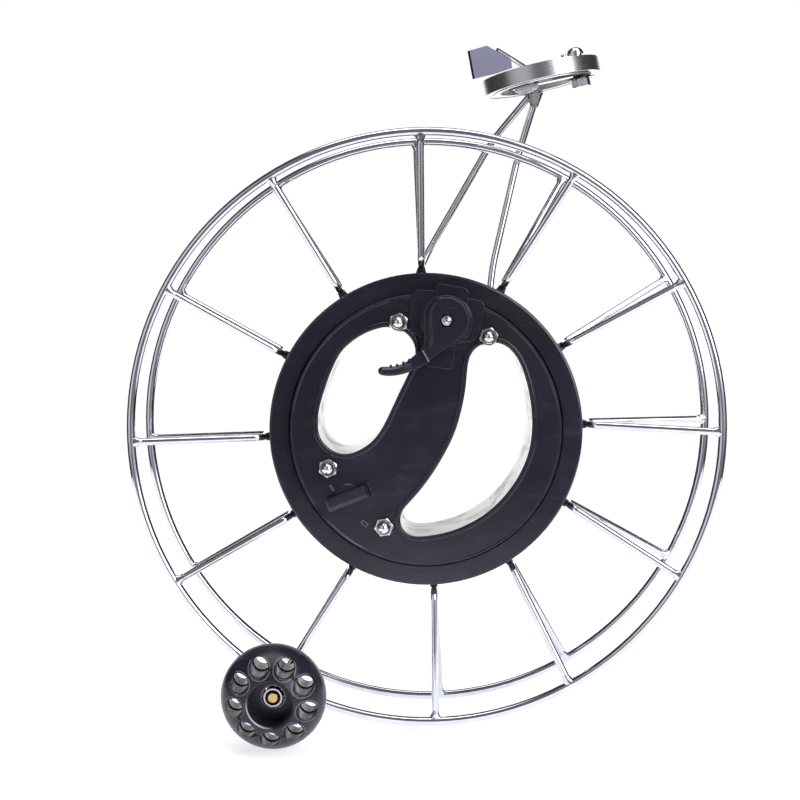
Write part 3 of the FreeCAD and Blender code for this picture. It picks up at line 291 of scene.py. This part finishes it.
def lever_painted_light(t, co, base):
    """Painted shade in the recess round the pivot nut, a painted highlight along the step between body and arm, and a
    faint painted highlight on the turned rim.
    """
    rad, dx, dz, y = radius_about(t, co, *PIVOT_AT)
    # painted shade: near black in the six sided recess round the pivot nut
    base = t.blend(t.mul(t.step(rad, 0.0049, 0.0046), t.step(y, -0.03905, -0.0387)), base, (0.0006, 0.0006, 0.0008))
    # distance from the line of the step, and place along it
    ax, az, bx, bz = -0.0023, 0.0481, 0.00145, 0.0413
    l = math.hypot(bx - ax, bz - az)
    ux, uz = (bx - ax) / l, (bz - az) / l
    px, pz = t.sub(dx, ax - PIVOT_AT[0]), t.sub(dz, az - PIVOT_AT[1])
    along = t.add(t.mul(px, ux), t.mul(pz, uz))
    off = t.math("ABSOLUTE", t.add(t.sub(t.mul(px, uz), t.mul(pz, ux)), 0.00045))
    # painted highlight: light line along the step between body and arm, broken up by noise
    mark = t.mul(t.mul(t.step(off, 0.0006, 0.0004), t.step(along, 0.0, 0.0007)), t.step(along, l + 0.0003, l - 0.0004))
    mark = t.mul(mark, t.mul(t.step(y, -0.0352, -0.0354), t.step(t.noise(co, 500.0, 2.0, 0.5), 0.25, 0.5, 0.7, 1.0)))
    base = t.blend(t.mul(mark, 0.9), base, (0.62, 0.62, 0.68))
    # painted highlight: faint light arc on the upper right of the turned rim
    rad2, ex, ez, y2 = radius_about(t, co, 0.0124, 0.0664)
    side = t.step(t.add(t.mul(ex, 0.8), t.mul(ez, 0.6)), 0.005, 0.011)
    line = t.mul(t.step(t.math("ABSOLUTE", t.sub(rad2, 0.0128)), 0.0003, 0.00012), side)
    return t.blend(t.mul(line, 0.18), base, (0.3, 0.3, 0.36))


def knob_painted_highlights(t, co, base):
    """Painted highlights: light rims on the nine holes, stronger towards the upper right, and a light arc on the lower
    left of the recess rim.
    """
    rad, dx, dz, y = radius_about(t, co, KNOB_AT[0], KNOB_AT[2])
    ang = t.math("ARCTAN2", dz, dx)
    step = math.radians(40.0)
    fold = t.sub(t.math("FLOORED_MODULO", t.add(ang, math.radians(12.0) + step / 2 + 8 * math.pi), step), step / 2)
    hx, hz = t.sub(t.mul(rad, t.math("COSINE", fold)), 0.02135), t.mul(rad, t.math("SINE", fold))
    d = t.math("SQRT", t.add(t.mul(hx, hx), t.mul(hz, hz)))
    front = t.step(y, -0.0655, -0.067)
    # painted highlight: light ring round each hole, stronger towards the upper right
    hole_rim_highlight = t.mul(t.step(t.math("ABSOLUTE", t.sub(d, 0.00645)), 0.00026, 0.0001), front)
    upper = t.step(t.add(dz, t.mul(dx, 0.5)), -0.02, 0.012, 0.25, 1.0)
    base = t.blend(t.mul(t.mul(hole_rim_highlight, upper), 0.6), base, (0.34, 0.34, 0.4))
    # painted highlight: light crescent on the lower left of the recess rim
    recess_lip_highlight = t.mul(t.step(t.math("ABSOLUTE", t.sub(rad, 0.0136)), 0.0005, 0.0002), t.step(y, -0.068, -0.07))
    low = t.step(t.add(t.mul(dx, -0.75), t.mul(dz, -0.66)), 0.007, 0.0125)
    return t.blend(t.mul(t.mul(recess_lip_highlight, low), 0.75), base, (0.5, 0.5, 0.56))


def guard_plate(name):
    """Satin grey faces; the side faces, turned away from the plate's front, are near black."""
    m, t, b, co = material(name)
    true = t.put("ShaderNodeNewGeometry").outputs["True Normal"]
    face = t.put("ShaderNodeVectorMath", {"operation": "DOT_PRODUCT"}, {0: true, 1: (0.5, -0.866, 0.0)}).outputs["Value"]
    # near black on faces turned away from the plate's front
    dark_side_faces = t.step(t.math("ABSOLUTE", face), 0.7, 0.4)
    n = t.noise(co, 90.0, 4.0, 0.55, 0.3)
    base = t.blend(n, (0.235, 0.235, 0.32), (0.275, 0.275, 0.37))
    on(b, t, base=t.blend(dark_side_faces, base, (0.012, 0.012, 0.016)), rough=t.add(0.45, t.mul(n, 0.15)), normal=t.bump(n, 0.15, 0.0001))
    return m


def pivot_nut(name):
    """Bright round collar; the rest of the nut, down in the lever's hex recess, is painted near black as shade."""
    m, t, b, co = material(name)
    rad, dx, dz, y = radius_about(t, co, *PIVOT_AT)
    n = t.noise(co, 500.0, 3.0, 0.6)
    # painted shade: everything but the front of the round collar is near black
    bright = t.mul(t.step(rad, 0.0035, 0.00338), t.step(y, -0.0372, -0.0376))
    on(b, t, base=t.blend(bright, (0.003, 0.003, 0.0035), (0.84, 0.83, 0.82)), metal=t.mul(bright, 1.0), rough=t.add(0.16, t.mul(n, 0.1)),
       normal=t.bump(n, 0.1, 0.00005))
    return m


def washer_shaded_inside(name):
    """Steel washer with painted shade: near black inside its raised rim, which stays bright steel."""
    m, t, b, co = material(name)
    rad, dx, dz, y = radius_about(t, co, KNOB_AT[0], KNOB_AT[2])
    # painted shade: near black inside the raised rim; the rim keeps its bright steel tone
    bright = t.mul(t.step(rad, 0.0045, 0.00465), t.step(y, -0.0583, -0.0586))
    n = t.noise(co, 500.0, 3.0, 0.6)
    on(b, t, base=t.blend(bright, (0.012, 0.012, 0.014), (0.62, 0.6, 0.58)), metal=1.0, rough=t.add(0.2, t.mul(n, 0.15)),
       normal=t.bump(n, 0.1, 0.00005))
    return m


MAT = {
    "hub_plastic": plastic("hub_plastic", (0.0115, 0.012, 0.0195), (0.019, 0.0198, 0.0325), (0.17, 0.3), 16.0, edge=0.45,
                           tint=((0.024, 0.0165, 0.0145), (0.055, -0.027, 0.068), 0.04)),
    "lever_plastic": plastic("lever_plastic", (0.0135, 0.0138, 0.0215), (0.02, 0.0205, 0.032), (0.2, 0.27), 45.0,
                             grain=0.0, scuff=0.25, specks=0.3,
                             extra=lever_painted_light),
    "knob_plastic": plastic("knob_plastic", (0.0125, 0.0126, 0.0195), (0.0185, 0.019, 0.03), (0.26, 0.36), 50.0,
                            scuff=0.3, specks=0.35, spec=0.35, extra=knob_painted_highlights),
    "polished_rod": steel("polished_rod", (0.84, 0.84, 0.86), (0.7, 0.7, 0.72), (0.05, 0.13), "ring"),
    "spoke_rod": steel("spoke_rod", (0.84, 0.84, 0.86), (0.7, 0.7, 0.72), (0.05, 0.14), "spoke"),
    "weld_steel": steel("weld_steel", (0.78, 0.78, 0.79), (0.5, 0.49, 0.48), (0.1, 0.3), None, 400.0, 0.5, 0.35),
    "bearing_steel": steel("bearing_steel", (0.7, 0.7, 0.71), (0.55, 0.55, 0.56), (0.12, 0.22), "ring"),
    "ball_steel": steel("ball_steel", (0.8, 0.8, 0.8), (0.74, 0.74, 0.74), (0.03, 0.06), None, 80.0, 0.05),
    "cage_nylon": simple("cage_nylon", (0.62, 0.56, 0.42), (0.7, 0.65, 0.52), (0.35, 0.55), 0.0, 150.0, 0.2, 0.0001),
    "fastener_steel": steel("fastener_steel", (0.84, 0.83, 0.82), (0.72, 0.71, 0.7), (0.13, 0.22), None, 200.0, 0.06),
    "dark_washer": steel("dark_washer", (0.1, 0.095, 0.1), (0.04, 0.038, 0.042), (0.15, 0.35), None, 300.0, 0.2),
    "spring_steel": steel("spring_steel", (0.6, 0.6, 0.62), (0.4, 0.4, 0.42), (0.15, 0.3), None, 300.0, 0.1),
    "brass": steel("brass", (0.86, 0.62, 0.25), (0.62, 0.42, 0.14), (0.18, 0.4), None, 350.0, 0.3),
    "cam_metal": steel("cam_metal", (0.5, 0.5, 0.52), (0.35, 0.35, 0.37), (0.25, 0.4), None, 200.0, 0.2),
    "friction_rubber": simple("friction_rubber", (0.02, 0.018, 0.016), (0.045, 0.04, 0.036), (0.7, 0.9), 0.0, 400.0,
                              0.5, 0.0003),
    "eyelet_ceramic": simple("eyelet_ceramic", (0.42, 0.42, 0.46), (0.55, 0.55, 0.6), (0.08, 0.2), 0.0, 200.0, 0.1,
                             0.0001, 1.6),
    "guard_grey": guard_plate("guard_grey"),
    "guide_brushed": brushed("guide_brushed"),
    "weld_dark": steel("weld_dark", (0.34, 0.33, 0.34), (0.12, 0.115, 0.12), (0.15, 0.35), None, 700.0, 0.7, 0.5),
    "mark_grey": simple("mark_grey", (0.085, 0.087, 0.115), (0.12, 0.122, 0.155), (0.4, 0.6), 0.0, 300.0, 0.3, 0.0001),
    "washer_shaded_inside": washer_shaded_inside("washer_shaded_inside"),
    "pivot_nut": pivot_nut("pivot_nut"),
    "race_dark": steel("race_dark", (0.14, 0.14, 0.15), (0.07, 0.07, 0.078), (0.2, 0.35), None, 300.0, 0.1),
    "weld_bright": steel("weld_bright", (0.86, 0.86, 0.87), (0.66, 0.66, 0.68), (0.1, 0.24), None, 500.0, 0.4, 0.12),
}
MAT_OF = {row["node"]: row["material_slot"] for row in frame["record"]["subparts"]}
SPECIAL = {"spokes": "spoke_rod", "guide_outer_ring": "guide_brushed", "guide_inner_ring": "guide_brushed",
           "swivel_insert": "guide_brushed", "knob_bearing_outer_races": "race_dark", "knob_bearing_inner_races": "race_dark",
           "guide_arm_head": "weld_dark", "knob_washer": "washer_shaded_inside", "brake_pivot_nut": "pivot_nut"}
for name, obj in NODES.items():
    want = MAT[SPECIAL.get(name, MAT_OF[name])]
    obj.data.materials.clear()
    obj.data.materials.append(want)


# ---------------------------------------------------------------- extra pieces
def smooth_loop(points, per=6):
    """Closed smooth curve through points of any dimension."""
    out, n = [], len(points)
    for i in range(n):
        a, b, c, d = (points[(i + k - 1) % n] for k in range(4))
        for j in range(per):
            u = j / per
            out.append([0.5 * (2 * q + (r - p) * u + (2 * p - 5 * q + 4 * r - s) * u * u + (3 * q - p - 3 * r + s) * u ** 3)
                        for p, q, r, s in zip(a, b, c, d)])
    return out


def inward(loop):
    """Unit inward normals of a closed (x, z) loop."""
    n = len(loop)
    area = sum(loop[i - 1][0] * loop[i][1] - loop[i][0] * loop[i - 1][1] for i in range(n))
    side = 1.0 if area > 0 else -1.0
    out = []
    for i in range(n):
        tx, tz = loop[(i + 1) % n][0] - loop[i - 1][0], loop[(i + 1) % n][1] - loop[i - 1][1]
        l = math.hypot(tx, tz) or 1.0
        out.append((-side * tz / l, side * tx / l))
    return out


def shell(bm, loops, cap_first=True, cap_last=True):
    """Closed skin over loops of equal count, in millimetres."""
    rows = [[bm.verts.new((p[0] * MM, p[1] * MM, p[2] * MM)) for p in loop] for loop in loops]
    n = len(rows[0])
    for a, b in zip(rows, rows[1:]):
        for i in range(n):
            bm.faces.new((a[i], a[(i + 1) % n], b[(i + 1) % n], b[i]))
    if cap_first:
        bm.faces.new(list(reversed(rows[0])))
    if cap_last:
        bm.faces.new(rows[-1])
    return rows


def finish_mesh(bm, name, mat, body, sharp=38.0, weighted=True):
    bmesh.ops.triangulate(bm, faces=[f for f in bm.faces if len(f.verts) > 4], quad_method="BEAUTY", ngon_method="BEAUTY")
    bmesh.ops.recalc_face_normals(bm, faces=bm.faces)
    for f in bm.faces:
        f.smooth = True
    for e in bm.edges:
        if len(e.link_faces) == 2:
            e.smooth = e.calc_face_angle(0.0) < math.radians(sharp)
    me = bpy.data.meshes.new(name)
    bm.to_mesh(me)
    bm.free()
    me.materials.append(mat)
    ob = bpy.data.objects.new(name, me)
    SCENE.collection.objects.link(ob)
    if weighted:
        wn = ob.modifiers.new("normals", "WEIGHTED_NORMAL")
        wn.keep_sharp = True
    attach(ob, body)
    return ob


LEVER_EDGE = [(-2.5, 49.1), (-4.5, 47.0), (-6.9, 45.0), (-9.9, 42.5), (-12.3, 40.9), (-15.6, 39.5), (-19.8, 38.6),
              (-24.1, 38.5), (-26.3, 38.3), (-27.7, 37.3), (-28.05, 35.8), (-27.3, 34.2), (-25.2, 33.4), (-21.1, 33.1),
              (-15.5, 33.7), (-10.3, 35.1), (-6.8, 36.4), (-3.4, 38.0), (-0.3, 39.8), (4.8, 44.0), (10.4, 48.2),
              (16.0, 51.7), (21.6, 55.4), (25.4, 60.2), (26.9, 66.2), (25.7, 72.3), (21.9, 77.2), (16.3, 80.2),
              (10.0, 80.6), (4.1, 78.4), (-0.2, 73.8), (-1.7, 68.2), (-1.7, 61.8), (-1.2, 56.8), (-1.2, 53.0)]
# x, z, width and depth of the rounding there, and how much of it is the long left flank
LEVER_BODY = [(-1.05, 64.3, 5.6, 2.9, 1.0), (-1.0, 60.8, 6.0, 3.0, 1.0), (-0.75, 57.0, 6.2, 3.1, 1.0), (-0.7, 54.0, 6.2, 3.1, 1.0),
              (-1.1, 51.2, 4.6, 2.8, 0.9), (-1.9, 49.1, 1.8, 2.6, 0.4), (-2.2, 48.2, 1.1, 3.6, 0.0), (-1.6, 46.9, 1.0, 3.8, 0.0),
              (-0.2, 44.5, 1.0, 3.8, 0.0), (0.9, 42.3, 1.0, 3.8, 0.0), (1.4, 41.5, 0.9, 2.6, 0.0), (2.1, 41.9, 0.7, 1.2, 0.0),
              (4.9, 44.25, 0.7, 0.8, 0.0), (10.4, 48.35, 0.7, 0.8, 0.0), (16.0, 52.2, 0.7, 0.8, 0.0), (20.7, 56.0, 0.8, 0.9, 0.0),
              (23.3, 59.1, 0.8, 0.9, 0.0), (24.95, 62.5, 0.8, 0.9, 0.0), (25.45, 66.4, 0.8, 0.9, 0.0), (24.75, 70.1, 0.8, 0.9, 0.0),
              (22.8, 73.9, 0.8, 0.9, 0.0), (19.8, 77.1, 0.8, 0.9, 0.0), (15.9, 79.1, 0.8, 0.9, 0.0), (12.1, 79.65, 0.9, 0.9, 0.0),
              (7.9, 79.05, 1.4, 1.1, 0.2), (4.5, 77.35, 2.6, 1.6, 0.5), (1.9, 74.8, 3.8, 2.2, 0.8), (0.15, 72.2, 4.6, 2.6, 1.0),
              (-0.7, 69.6, 5.1, 2.8, 1.0), (-0.95, 67.2, 5.4, 2.9, 1.0)]
PIVOT = (12.3, 65.7)
TOP_Y, ARM_Y, BACK_Y = -39.2, -35.2, -30.2


def brake_lever_mesh():
    bm = bmesh.new()
    # thin arm and lower disc
    loop = smooth_loop(LEVER_EDGE, 5)
    nrm = inward(loop)
    steps = [(0.35, BACK_Y), (0.0, BACK_Y - 0.35), (0.0, ARM_Y + 0.75), (0.12, ARM_Y + 0.4), (0.38, ARM_Y + 0.13), (0.75, ARM_Y)]
    shell(bm, [[(p[0] + n[0] * d, y, p[1] + n[1] * d) for p, n in zip(loop, nrm)] for d, y in steps])
    # thick body
    loop = smooth_loop(LEVER_BODY, 5)
    nrm = inward(loop)
    rows = [[(p[0], ARM_Y + 0.5, p[1]) for p in loop]]
    for k in range(13):
        u = k / 12.0
        row = []
        for p, n in zip(loop, nrm):
            w, drop, flank = max(p[2], 0.4), p[3], min(max(p[4], 0.0), 1.0)
            f = math.sin(u * math.pi / 2) ** (1.0 + 0.25 * flank)
            row.append((p[0] + n[0] * w * u, TOP_Y + drop * (1 - f), p[1] + n[1] * w * u))
        rows.append(row)
    made = shell(bm, rows, True, False)
    # six sided recess round the pivot nut
    def hexa(af, y):
        r = af / math.sqrt(3.0)
        return [(PIVOT[0] + r * math.cos(math.radians(60 * i)), y, PIVOT[1] + r * math.sin(math.radians(60 * i))) for i in range(6)]
    hexes = shell(bm, [hexa(8.5, TOP_Y), hexa(7.95, TOP_Y + 0.3), hexa(7.8, -34.95)], False, True)
    edges = []
    for ring in (made[-1], hexes[0]):
        for i in range(len(ring)):
            edges.append(bm.edges.get((ring[i], ring[(i + 1) % len(ring)])))
    bmesh.ops.triangle_fill(bm, use_beauty=True, use_dissolve=False, edges=edges, normal=(0, -1, 0))
    # finger pad, lofted from the neck to the tip
    loop = smooth_loop(LEVER_EDGE, 8)
    hump = [(-8.0, -35.3), (-9.2, -35.5), (-10.5, -35.9), (-12.5, -36.45), (-15.5, -36.9), (-19.0, -37.15), (-23.0, -37.15),
            (-26.0, -36.8), (-27.2, -36.3), (-28.0, -35.3)]

    def span(x):
        zs = []
        for i in range(len(loop)):
            a, b = loop[i - 1], loop[i]
            if (a[0] - x) * (b[0] - x) <= 0 and a[0] != b[0] and a[1] < 48 and b[1] < 48:
                zs.append(a[1] + (b[1] - a[1]) * (x - a[0]) / (b[0] - a[0]))
        return min(zs), max(zs)

    def front(x):
        for (x0, y0), (x1, y1) in zip(hump, hump[1:]):
            if x1 <= x <= x0:
                return y0 + (y1 - y0) * (x0 - x) / (x0 - x1)
        return hump[-1][1]

    secs = []
    for i in range(30):
        x = -8.2 - 19.8 * math.sin(math.pi / 2 * i / 29.0)
        lo, hi = span(x)
        k = min(1.0, (hi - lo) / 5.0)
        y = front(x) + 0.9 * (1 - k)
        secs.append([(x, BACK_Y - 0.4 * k, lo + 0.3 * k), (x, y + 1.3, lo), (x, y + 0.55, lo + 0.2 * k), (x, y + 0.1, lo + 0.7 * k),
                     (x, y, lo + 1.3 * k), (x, y, 0.5 * (lo + hi) - 0.4 * k), (x, y, hi - 2.2 * k), (x, y + 0.12, hi - 1.75 * k),
                     (x, y + 0.75, hi - 1.2 * k), (x, y + 1.2, hi - 0.35 * k), (x, y + 1.9, hi), (x, BACK_Y - 0.4 * k, hi - 0.2 * k)])
    shell(bm, secs)
    # ribs across the upper edge of the pad
    for x, z, lean in ((-9.7, 42.35, 0.4), (-13.1, 40.75, 0.35), (-16.8, 39.35, 0.2), (-20.5, 38.75, 0.05)):
        rings = []
        for y, r in ((-31.0, 0.5), (-31.3, 0.85), (-35.6, 0.85), (-36.1, 0.65), (-36.3, 0.3)):
            rings.append([(x + r * math.cos(math.pi * j / 6), y, z + 1.15 * r * math.sin(math.pi * j / 6)) for j in range(12)])
        shell(bm, rings)
    ob = finish_mesh(bm, "brake_lever_moulding", MAT["lever_plastic"], "brake_lever")
    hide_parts("brake_lever")
    return ob


SPOKE_OUTER = [-0.3, 30.0, 59.8, 91.1, 121.6, 151.6, 182.5, 211.5, 240.0, 272.0, 299.5, 330.0]
SPOKE_INNER = [1.5, 31.2, 61.5, 91.6, 121.9, 152.4, 183.2, 213.1, 242.3, 273.0, 302.0, 331.9]


def rim_welds():
    """Flared weld fillets where each spoke meets the two rings."""
    bm = bmesh.new()
    k = 0
    for out_deg, in_deg in zip(SPOKE_OUTER, SPOKE_INNER):
        for ring_y, end_y, twist in ((-21.0, -13.2, 0.0), (41.0, 11.0, 1.0)):
            k += 1
            if ring_y < 0 and abs(out_deg - 240.0) < 1:
                continue
            a, b = math.radians(out_deg + twist), math.radians(in_deg)
            at = Vector((177.5 * math.cos(a), ring_y, 177.5 * math.sin(a)))
            to = Vector((98.9 * math.cos(b), end_y, 98.9 * math.sin(b)))
            u = (to - at).normalized()
            tan = Vector((-math.sin(a), 0, math.cos(a)))
            tan = (tan - u * tan.dot(u)).normalized()
            side = u.cross(tan)
            rows = []
            for j in range(11):
                s = 7.6 * (1 - j / 10.0)
                g = 1 - s / 7.6
                wide = 2.1 + 3.9 * g ** 2.6
                deep = 2.1 + 0.4 * min(1.0, g * 3.0)
                row = []
                for i in range(20):
                    f = 2 * math.pi * i / 20
                    wob = 1 + 0.05 * math.sin(3.0 * f + k * 1.7 + s) * min(1.0, 4 * g) + 0.03 * math.sin(7 * s + k)
                    off = tan * (wide * math.cos(f) * wob) + side * (deep * math.sin(f) * (1 + 0.4 * (wob - 1)))
                    row.append(at + u * s + off)
                rows.append(row)
            shell(bm, rows)
    return finish_mesh(bm, "rim_welds", MAT["weld_bright"], "wheel", 60.0, False)


def lock_marks():
    """Raised bar and open slot beside the lock knob that show its two positions."""
    bm = bmesh.new()
    face_y = -27.0

    def strip(cx, cz, length, width, deg, hollow):
        c, s = math.cos(math.radians(deg)), math.sin(math.radians(deg))

        def ring(l, w, y):
            pts, r = [], min(w / 2, 0.45)
            for qx, qz, a0 in ((1, 1, 0), (-1, 1, 90), (-1, -1, 180), (1, -1, 270)):
                for j in range(4):
                    a = math.radians(a0 + 30 * j)
                    px, pz = qx * (l / 2 - r) + r * math.cos(a), qz * (w / 2 - r) + r * math.sin(a)
                    pts.append((cx + px * c - pz * s, y, cz + px * s + pz * c))
            return pts
        if hollow:
            rows = [ring(length, width, face_y + 0.1), ring(length, width, face_y - 0.3), ring(length - 0.25, width - 0.25, face_y - 0.42),
                    ring(length - 1.0, width - 1.0, face_y - 0.42), ring(length - 1.25, width - 1.25, face_y - 0.3),
                    ring(length - 1.25, width - 1.25, face_y + 0.1)]
            shell(bm, rows, False, False)
            made = [v for v in bm.verts]
            n = len(rows[0])
            first, last = made[-6 * n:-5 * n], made[-n:]
            for i in range(n):
                bm.faces.new((first[(i + 1) % n], first[i], last[i], last[(i + 1) % n]))
        else:
            shell(bm, [ring(length, width, face_y + 0.1), ring(length, width, face_y - 0.3), ring(length - 0.25, width - 0.25, face_y - 0.42)])

    strip(-56.05, -34.45, 4.7, 1.35, -57.0, False)
    strip(-36.5, -55.8, 4.5, 2.6, -33.0, True)
    return finish_mesh(bm, "lock_position_marks", MAT["mark_grey"], "grip")


brake_lever_mesh()
rim_welds()
lock_marks()


# ----------------------------------------------------------------------- stage
def make_mesh(name, verts, faces, mat, smooth=True):
    me = bpy.data.meshes.new(name)
    me.from_pydata([tuple(v) for v in verts], [], faces)
    me.update()
    if smooth:
        me.polygons.foreach_set("use_smooth", [True] * len(me.polygons))
    ob = bpy.data.objects.new(name, me)
    SCENE.collection.objects.link(ob)
    if mat:
        me.materials.append(mat)
    return ob


def floor_disc():
    m = bpy.data.materials.new("floor_white")
    m.use_nodes = True
    t = Tree(m.node_tree)
    out = t.put("ShaderNodeOutputMaterial")
    matt = t.put("ShaderNodeBsdfDiffuse", None, {0: (0.8, 0.8, 0.8, 1)})
    seen = t.put("ShaderNodeLightPath").outputs["Is Camera Ray"]
    glow = t.put("ShaderNodeEmission", None, {0: t.blend(seen, (0.86, 0.9, 1.0), (1.0, 1.0, 1.0)), 1: 0.66})
    both = t.put("ShaderNodeAddShader")
    t.t.links.new(matt.outputs[0], both.inputs[0])
    t.t.links.new(glow.outputs[0], both.inputs[1])
    t.t.links.new(both.outputs[0], out.inputs[0])
    n, r, z = 96, 0.82, -0.1872
    verts = [(0, 0, z)] + [(r * math.cos(2 * math.pi * i / n), r * math.sin(2 * math.pi * i / n), z) for i in range(n)]
    faces = [(0, 1 + i, 1 + (i + 1) % n) for i in range(n)]
    ob = make_mesh("studio_floor", verts, faces, m, False)


def studio_world():
    w = bpy.data.worlds.new("studio")
    SCENE.world = w
    w.use_nodes = True
    t = Tree(w.node_tree)
    out = t.put("ShaderNodeOutputWorld")
    d = t.put("ShaderNodeTexCoord").outputs["Generated"]
    x, y, z = t.xyz(d)[:3]
    # white wall behind the object, brightest at its foot
    wall = t.mul(t.step(y, 0.80, 0.90), t.step(z, 0.12, 0.24, 1.6, 0.8))
    az = t.math("ARCTAN2", x, t.mul(y, -1.0))
    # dim room behind the camera
    room = t.mul(t.step(y, -0.45, -0.8), 0.13)
    # bright softbox at the upper right, with a wide faint one round it
    key = t.mul(t.mul(t.step(az, 0.38, 0.48), t.step(az, 1.08, 0.94)), t.mul(t.step(z, 0.02, 0.12), t.step(z, 0.86, 0.76)))
    fill = t.mul(t.mul(t.step(az, 0.16, 0.36), t.step(az, 1.3, 1.1)), t.mul(t.step(z, -0.2, 0.0), t.step(z, 0.95, 0.8)))
    left = t.mul(t.mul(t.step(az, -0.3, -0.5), t.step(az, -1.3, -1.1)), t.mul(t.step(z, -0.25, -0.05), t.step(z, 0.7, 0.5)))
    top = t.mul(t.step(z, 0.88, 0.95), t.step(y, 0.3, 0.1))
    low = t.step(z, -0.75, -0.9)
    val = t.add(wall, t.mul(key, 4.2))
    val = t.add(val, t.mul(fill, 0.45))
    val = t.add(val, t.mul(left, 0.65))
    val = t.add(val, t.mul(top, 3.0))
    val = t.add(val, t.mul(low, 0.9))
    val = t.add(val, t.add(room, 0.05))
    seen = t.put("ShaderNodeLightPath").outputs["Is Camera Ray"]
    val = t.add(t.mul(val, t.sub(1.0, seen)), seen)
    cool = t.sub(1.0, t.mul(t.sub(1.0, seen), t.mul(t.step(y, -0.3, -0.8), 0.12)))
    col = t.vec(t.mul(val, cool), t.mul(val, cool), val)
    bg = t.put("ShaderNodeBackground", None, {0: col, 1: 1.0})
    t.t.links.new(bg.outputs[0], out.inputs[0])


def camera():
    a, e, f = math.radians(1.24684438), math.radians(3.70093184), 1534.89723
    cam = bpy.data.cameras.new("camera")
    cam.sensor_width = 36.0
    cam.lens = 36.0 * f / 800.0
    cam.clip_start, cam.clip_end = 0.05, 20.0
    ob = bpy.data.objects.new("camera", cam)
    SCENE.collection.objects.link(ob)
    s, c, se, ce = math.sin(a), math.cos(a), math.sin(e), math.cos(e)
    right, up, back = Vector((c, s, 0)), Vector((-s * se, c * se, ce)), Vector((s * ce, -c * ce, se))
    ob.matrix_world = Matrix(((right.x, up.x, back.x, 0.0045934), (right.y, up.y, back.y, -0.938976),
                              (right.z, up.z, back.z, 0.0773655), (0, 0, 0, 1)))
    SCENE.camera = ob


SCENE.view_settings.view_transform = "Standard"
SCENE.view_settings.look = "None"
floor_disc()
studio_world()
camera()
